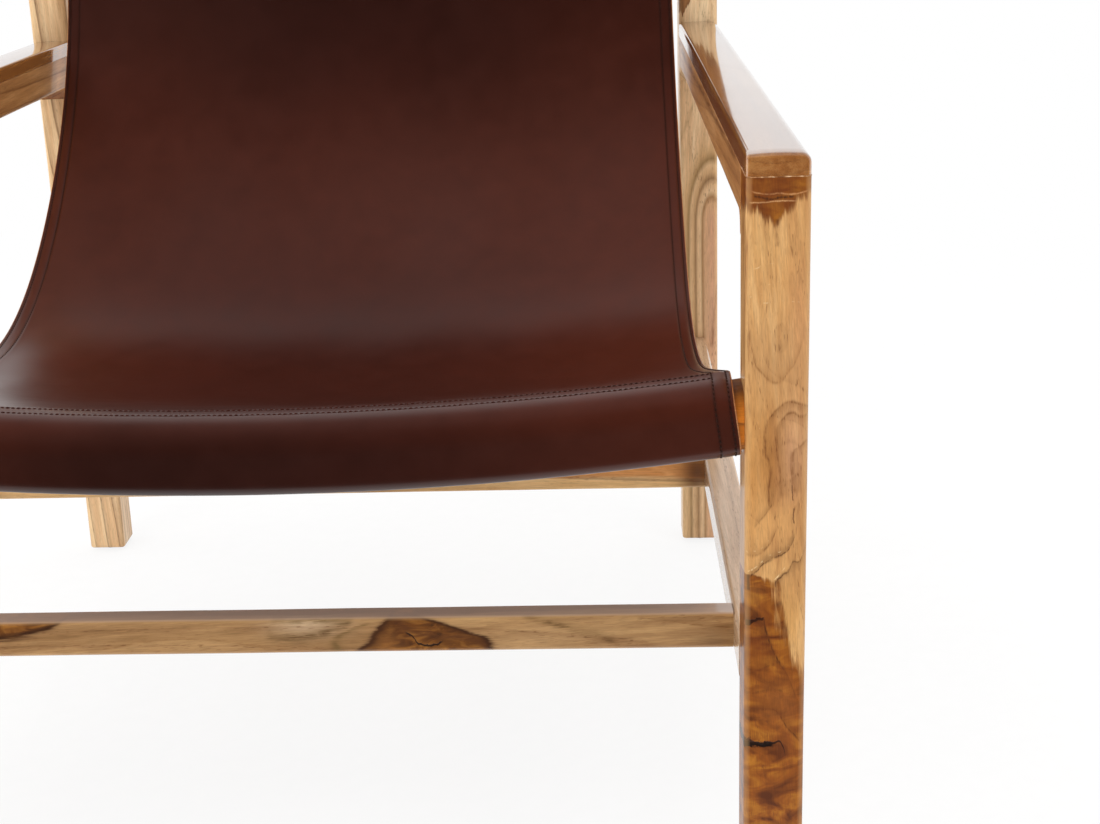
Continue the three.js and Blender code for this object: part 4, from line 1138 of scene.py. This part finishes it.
def threadMaterial():
    material, add, place = newMaterial("waxed polyester thread, dark brown")
    twist = add("TexNoise", {"Vector": place, "Scale": 1000 / stitch["twistSize"], "Detail": 1.0})
    colour = add("ValToRGB", {"Fac": twist}, stops=[(0.3, "#1f0e08"), (0.7, "#3d1e13")])
    sideways = add("Math ABSOLUTE", add("SeparateXYZ", place, out="X"))  # browner toward the middle
    lightened = add("MapRange SMOOTHSTEP", sideways, *(x * mm for x in stitch["rubbedReach"]), 0.9, 0.0)
    colour = add("Mix RGBA", lightened, colour, linear(stitch["rubbedTint"]))
    bump = add("Bump", {"Height": twist, "Strength": 0.6, "Distance": 0.0002})
    add("OutputMaterial", add("BsdfPrincipled", {
        "Base Color": colour, "Roughness": 0.6, "Normal": bump, "Specular IOR Level": 0.25}))
    return material


def stitchShape():  # one stitch: a short bowed rope whose two ends dive into the leather
    rings, sideCount = stitch["rings"], stitch["sides"]
    points, faces = [], []
    for k in range(rings):
        share = k / (rings - 1) * 2 - 1
        radius = stitch["width"] / 2 * math.sqrt(max(0.12, 1 - share ** 2 * 0.85))
        for j in range(sideCount):
            angle = j / sideCount * 2 * math.pi
            points.append((share * stitch["length"] / 2, radius * math.cos(angle),
                           radius * math.sin(angle) + stitch["bow"] * (1 - share ** 2) - stitch["sink"]))
    for k in range(rings - 1):
        for j in range(sideCount):
            a, b = k * sideCount + j, k * sideCount + (j + 1) % sideCount
            faces.append((a, a + sideCount, b + sideCount, b))
    faces.append(tuple(range(sideCount)))
    faces.append(tuple(reversed(range((rings - 1) * sideCount, rings * sideCount))))
    mesh = bpy.data.meshes.new("stitchShape")
    mesh.from_pydata([(x * mm, y * mm, z * mm) for x, y, z in points], [], faces)
    mesh.shade_smooth()
    shape = bpy.data.objects.new("stitchShape", mesh)
    bpy.context.scene.collection.objects.link(shape)
    return shape


def stitchTree():  # stitches at an even pitch along every line of the mesh, standing on the leather
    tree = bpy.data.node_groups.new("stitches along seams", "GeometryNodeTree")
    tree.is_modifier = True
    sockets = {}
    for label, kind in (("Geometry", "Geometry"), ("Stitch", "Object"), ("Thread", "Material"),
                        ("Pitch", "Float"), ("Slant", "Float"), ("Wobble", "Float"), ("Seed", "Int")):
        sockets[label] = tree.interface.new_socket(label, in_out="INPUT", socket_type=f"NodeSocket{kind}")
    tree.interface.new_socket("Geometry", in_out="OUTPUT", socket_type="NodeSocketGeometry")
    add = partial(addNode, tree)
    given = add("NodeGroupInput").node.outputs
    line = add("GeometryNodeMeshToCurve", {"Mesh": given["Geometry"]})
    even = add("GeometryNodeResampleCurve", {"Curve": line, "Length": given["Pitch"]}, mode="LENGTH")
    tangent = add("GeometryNodeInputTangent")
    outward = add("GeometryNodeInputNamedAttribute", {"Name": "outward"}, data_type="FLOAT_VECTOR")
    alongSeam = add("FunctionNodeAlignRotationToVector", {"Vector": tangent}, axis="X")
    standing = add("FunctionNodeAlignRotationToVector", {"Rotation": alongSeam, "Vector": outward}, axis="Z",
                   pivot_axis="X")
    least = add("Math SUBTRACT", given["Slant"], given["Wobble"])
    most = add("Math ADD", given["Slant"], given["Wobble"])
    yaw = add("FunctionNodeRandomValue", least, most, {"Seed": given["Seed"]}, data_type="FLOAT")
    turned = add("FunctionNodeEulerToRotation", add("CombineXYZ", {"Z": yaw}))
    rotation = add("FunctionNodeRotateRotation", standing, turned, rotation_space="LOCAL")
    shape = add("GeometryNodeObjectInfo", {"Object": given["Stitch"], "As Instance": True}, out="Geometry")
    placed = add("GeometryNodeInstanceOnPoints", {"Points": even, "Instance": shape, "Rotation": rotation})
    real = add("GeometryNodeRealizeInstances", placed)
    add("NodeGroupOutput", add("GeometryNodeSetMaterial", {"Geometry": real, "Material": given["Thread"]}))
    return tree, sockets


def seamLines(lines, face):  # one mesh of open lines, each point with the direction that the leather faces
    points, edges, outward = [], [], []
    for along, across in lines:
        spots, slopes, _ = slingSurface(along, across, face)
        first = len(points)
        points.extend(spots * mm)
        outward.extend(slopes)
        edges.extend((first + k, first + k + 1) for k in range(len(spots) - 1))
    mesh = bpy.data.meshes.new("seamLines")
    mesh.from_pydata([tuple(point) for point in points], edges, [])
    facing = mesh.attributes.new("outward", "FLOAT_VECTOR", "POINT")
    facing.data.foreach_set("vector", np.array(outward).ravel())
    lines = bpy.data.objects.new("seamLines", mesh)
    bpy.context.scene.collection.objects.link(lines)
    return lines


def stitchPiece(name, lines, face, tree, sockets, shape, thread):
    guide = seamLines(lines, face)
    modifier = guide.modifiers.new("stitches", "NODES")
    modifier.node_group = tree
    values = {"Stitch": shape, "Thread": thread, "Pitch": stitch["pitch"] * mm,
              "Slant": math.radians(stitch["slant"]), "Wobble": math.radians(stitch["wobble"]),
              "Seed": stitch["seed"]}
    for label, value in values.items():
        modifier[sockets[label].identifier] = value
    bpy.context.view_layer.update()
    mesh = bpy.data.meshes.new_from_object(guide.evaluated_get(bpy.context.evaluated_depsgraph_get()))
    bpy.data.objects.remove(guide)
    piece = bpy.data.objects.new(name, mesh)
    bpy.context.scene.collection.objects.link(piece)
    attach(piece, "root")
    return piece


def sideRow(distance, start, end):
    along = np.arange(start, end, stitch["sideStep"])
    half = onLine(lineHalf, along)
    return [(along, sign * (half - distance)) for sign in (1, -1)]


def crossRow(row):
    reach = float(onLine(lineHalf, row)) - sling["innerRow"] - stitch["endGap"]
    across = np.arange(-reach, reach, stitch["crossStep"])
    return [(np.full_like(across, row), across)]


shape, thread = stitchShape(), threadMaterial()
tree, sockets = stitchTree()
grainLines, fleshLines = [], []
for distance in (sling["outerRow"], sling["innerRow"]):  # the grain side's rows run all round both rails
    grainLines += sideRow(distance, sling["flapOverlap"] + stitch["flapGap"], lineAt[-1] - stitch["flapGap"])
    fleshLines += sideRow(distance, frontWrapEnd + stitch["crestGap"], topWrapStart - stitch["topGap"])
for row in (*frontRows, *topRows):
    grainLines += crossRow(row)
grainStitches = stitchPiece("stitches_grain_side", grainLines, 1, tree, sockets, shape, thread)
fleshStitches = stitchPiece("stitches_flesh_side", fleshLines, -1, tree, sockets, shape, thread)
bpy.data.objects.remove(shape)
print("stitches made:", len(grainStitches.data.polygons), len(fleshStitches.data.polygons), "faces")


# Beech dowel, turned and left bare: pale with short darker flecks along the grain.
beechLook = {"fleckSize": (0.6, 0.6, 6), "colours": [(0.35, "#dcbf93"), (0.7, "#b98e5e")]}


def beechMaterial():
    material, add, place = newMaterial("beech dowel, turned")
    long = add("Mapping", {"Vector": place, "Scale": [size * mm for size in beechLook["fleckSize"]]},
               vector_type="TEXTURE")
    fleck = add("TexNoise", {"Vector": long, "Scale": 1.0, "Detail": 2.0})
    colour = add("ValToRGB", {"Fac": fleck}, stops=beechLook["colours"])
    bump = add("Bump", {"Height": fleck, "Strength": 0.4, "Distance": 0.0001})
    add("OutputMaterial", add("BsdfPrincipled", {"Base Color": colour, "Roughness": 0.6, "Normal": bump}))
    return material


# Moulded polyethylene glide, nearly black: matt, with the fine orange peel of a cheap mould.
def glideMaterial():
    return plainMaterial("polyethylene glide, moulded", 10 / 7, [(0.3, "#1d1c1c"), (0.7, "#2e2c2b")],
                         (0.4, 0.2), Roughness=0.6)


beech, glide = beechMaterial(), glideMaterial()
for name, node in nodes.items():
    if name.startswith(("cap_dowel", "foot_glide")):
        node.data.materials.clear()
        node.data.materials.append(beech if name.startswith("cap_dowel") else glide)
print("dowels and glides finished")


studio = {  # lengths in metres, the floor's speck in millimetres
    "floorSize": 40, "floor": ("#f1f0ee", "#f8f7f6"), "speckSize": 50 / 3, "shadowReach": (0.9, 2.2),
    "glow": 0.86,  # share of plain white in the floor beside the chair
    "paper": 1.0, "paperRise": (-0.5, 0.75), "front": 0.03,  # white paper behind the chair, dark before it
    "ceiling": 0.37, "overhead": (0.78, 1.0), "darkSide": (-0.3, 0.02, 0.3), "ambient": 0.66,
    # the floor before the chair lies in the dark half of the studio
    "litFloor": (-0.73, -0.5), "under": 0.95,
    "lamps": [  # place, aim, size and power, in metres and watts
        ((-1.7, -2.4, 2.7), (0.0, 0.0, 0.4), 2.0, 50),
        ((2.6, -1.6, 2.0), (0.2, 0.0, 0.4), 1.8, 22),
        ((0.2, 0.9, 3.1), (0.1, 0.0, 0.45), 2.4, 42),
        ((-2.7, 0.3, 1.5), (0.3, 0.0, 0.45), 2.0, 26),
    ],
}


# Matt floor paint on board: even white with a faint speck, so that only the shadow marks it.
def floorMaterial():
    material, add, place = newMaterial("painted studio floor")
    far = add("VectorMath LENGTH", place)
    away = add("MapRange SMOOTHSTEP", far, *studio["shadowReach"], studio["glow"], 1.0)
    paths = add("LightPath").node.outputs
    speck = add("TexNoise", {"Vector": place, "Scale": 1000 / studio["speckSize"], "Detail": 3.0})
    colour = add("ValToRGB", {"Fac": speck}, stops=list(zip((0.3, 0.7), studio["floor"])))
    paint = add("BsdfDiffuse", {"Color": colour})
    white = add("Emission", {"Color": (1, 1, 1, 1), "Strength": 1.0})
    seen = add("MixShader", add("Math MULTIPLY", paths["Is Camera Ray"], away), paint, white)
    # in what the chair mirrors, the floor is a painted glow: dark before the chair, bright under it
    forward = add("SeparateXYZ", place, out="Y")
    lit = add("MapRange SMOOTHSTEP", forward, *studio["litFloor"], studio["front"], studio["under"])
    mirrored = add("Emission", {"Color": (1, 1, 1, 1), "Strength": lit})
    add("OutputMaterial", add("MixShader", paths["Is Glossy Ray"], seen, mirrored))
    return material


reach = studio["floorSize"] / 2
floorMesh = bpy.data.meshes.new("studio_floor")
floorMesh.from_pydata([(-reach, -reach, 0), (reach, -reach, 0), (reach, reach, 0), (-reach, reach, 0)], [],
                      [(0, 1, 2, 3)])
floorMesh.materials.append(floorMaterial())
floor = bpy.data.objects.new("studio_floor", floorMesh)
bpy.context.scene.collection.objects.link(floor)

world = bpy.data.worlds.new("studio")
bpy.context.scene.world = world
world.use_nodes = True
world.node_tree.nodes.clear()
addSky = partial(addNode, world.node_tree)
paths = addSky("LightPath").node.outputs
toward = addSky("SeparateXYZ", addSky("TexCoord", out="Generated")).node.outputs
paper = addSky("MapRange SMOOTHSTEP", toward["Y"], *studio["paperRise"], studio["front"], studio["paper"])
above = addSky("MapRange SMOOTHSTEP", toward["Z"], *studio["overhead"])
sideShare = addSky("MapRange SMOOTHSTEP", toward["X"], *studio["darkSide"], 1.0)
ceiling = addSky("Math MULTIPLY", sideShare, studio["ceiling"])
mirrored = addSky("Mix FLOAT", above, paper, ceiling)
lit = addSky("Mix FLOAT", paths["Is Glossy Ray"], studio["ambient"], mirrored)
strength = addSky("Math MAXIMUM", lit, paths["Is Camera Ray"])
addSky("OutputWorld", addSky("Background", {"Color": (1, 1, 1, 1), "Strength": strength}))

for number, (place, aim, size, power) in enumerate(studio["lamps"]):
    lamp = bpy.data.lights.new(f"softBox{number}", "AREA")
    lamp.shape, lamp.size, lamp.energy = "SQUARE", size, power
    box = bpy.data.objects.new(f"softBox{number}", lamp)
    box.location = place
    box.rotation_euler = (Vector(aim) - Vector(place)).to_track_quat("-Z", "Y").to_euler()
    box.visible_camera = False
    box.visible_glossy = False  # the paper and the ceiling are what the chair mirrors
    bpy.context.scene.collection.objects.link(box)

view = {"place": (0.22096, -1.33601, 0.73428), "turn": (73.7846, 1.9812, 2.2888), "lens": 54.522,
        "shift": (0.02894, -0.07468)}  # found by fitting the frame's edges in the photo
camera = bpy.data.cameras.new("photoView")
camera.lens, camera.sensor_width = view["lens"], 36
camera.shift_x, camera.shift_y = view["shift"]
camera.clip_start, camera.clip_end = 0.05, 60
cameraObject = bpy.data.objects.new("photoView", camera)
cameraObject.location = view["place"]
cameraObject.rotation_euler = [math.radians(angle) for angle in view["turn"]]
bpy.context.scene.collection.objects.link(cameraObject)
bpy.context.scene.camera = cameraObject
bpy.context.scene.view_settings.view_transform = "Standard"
print("studio set")
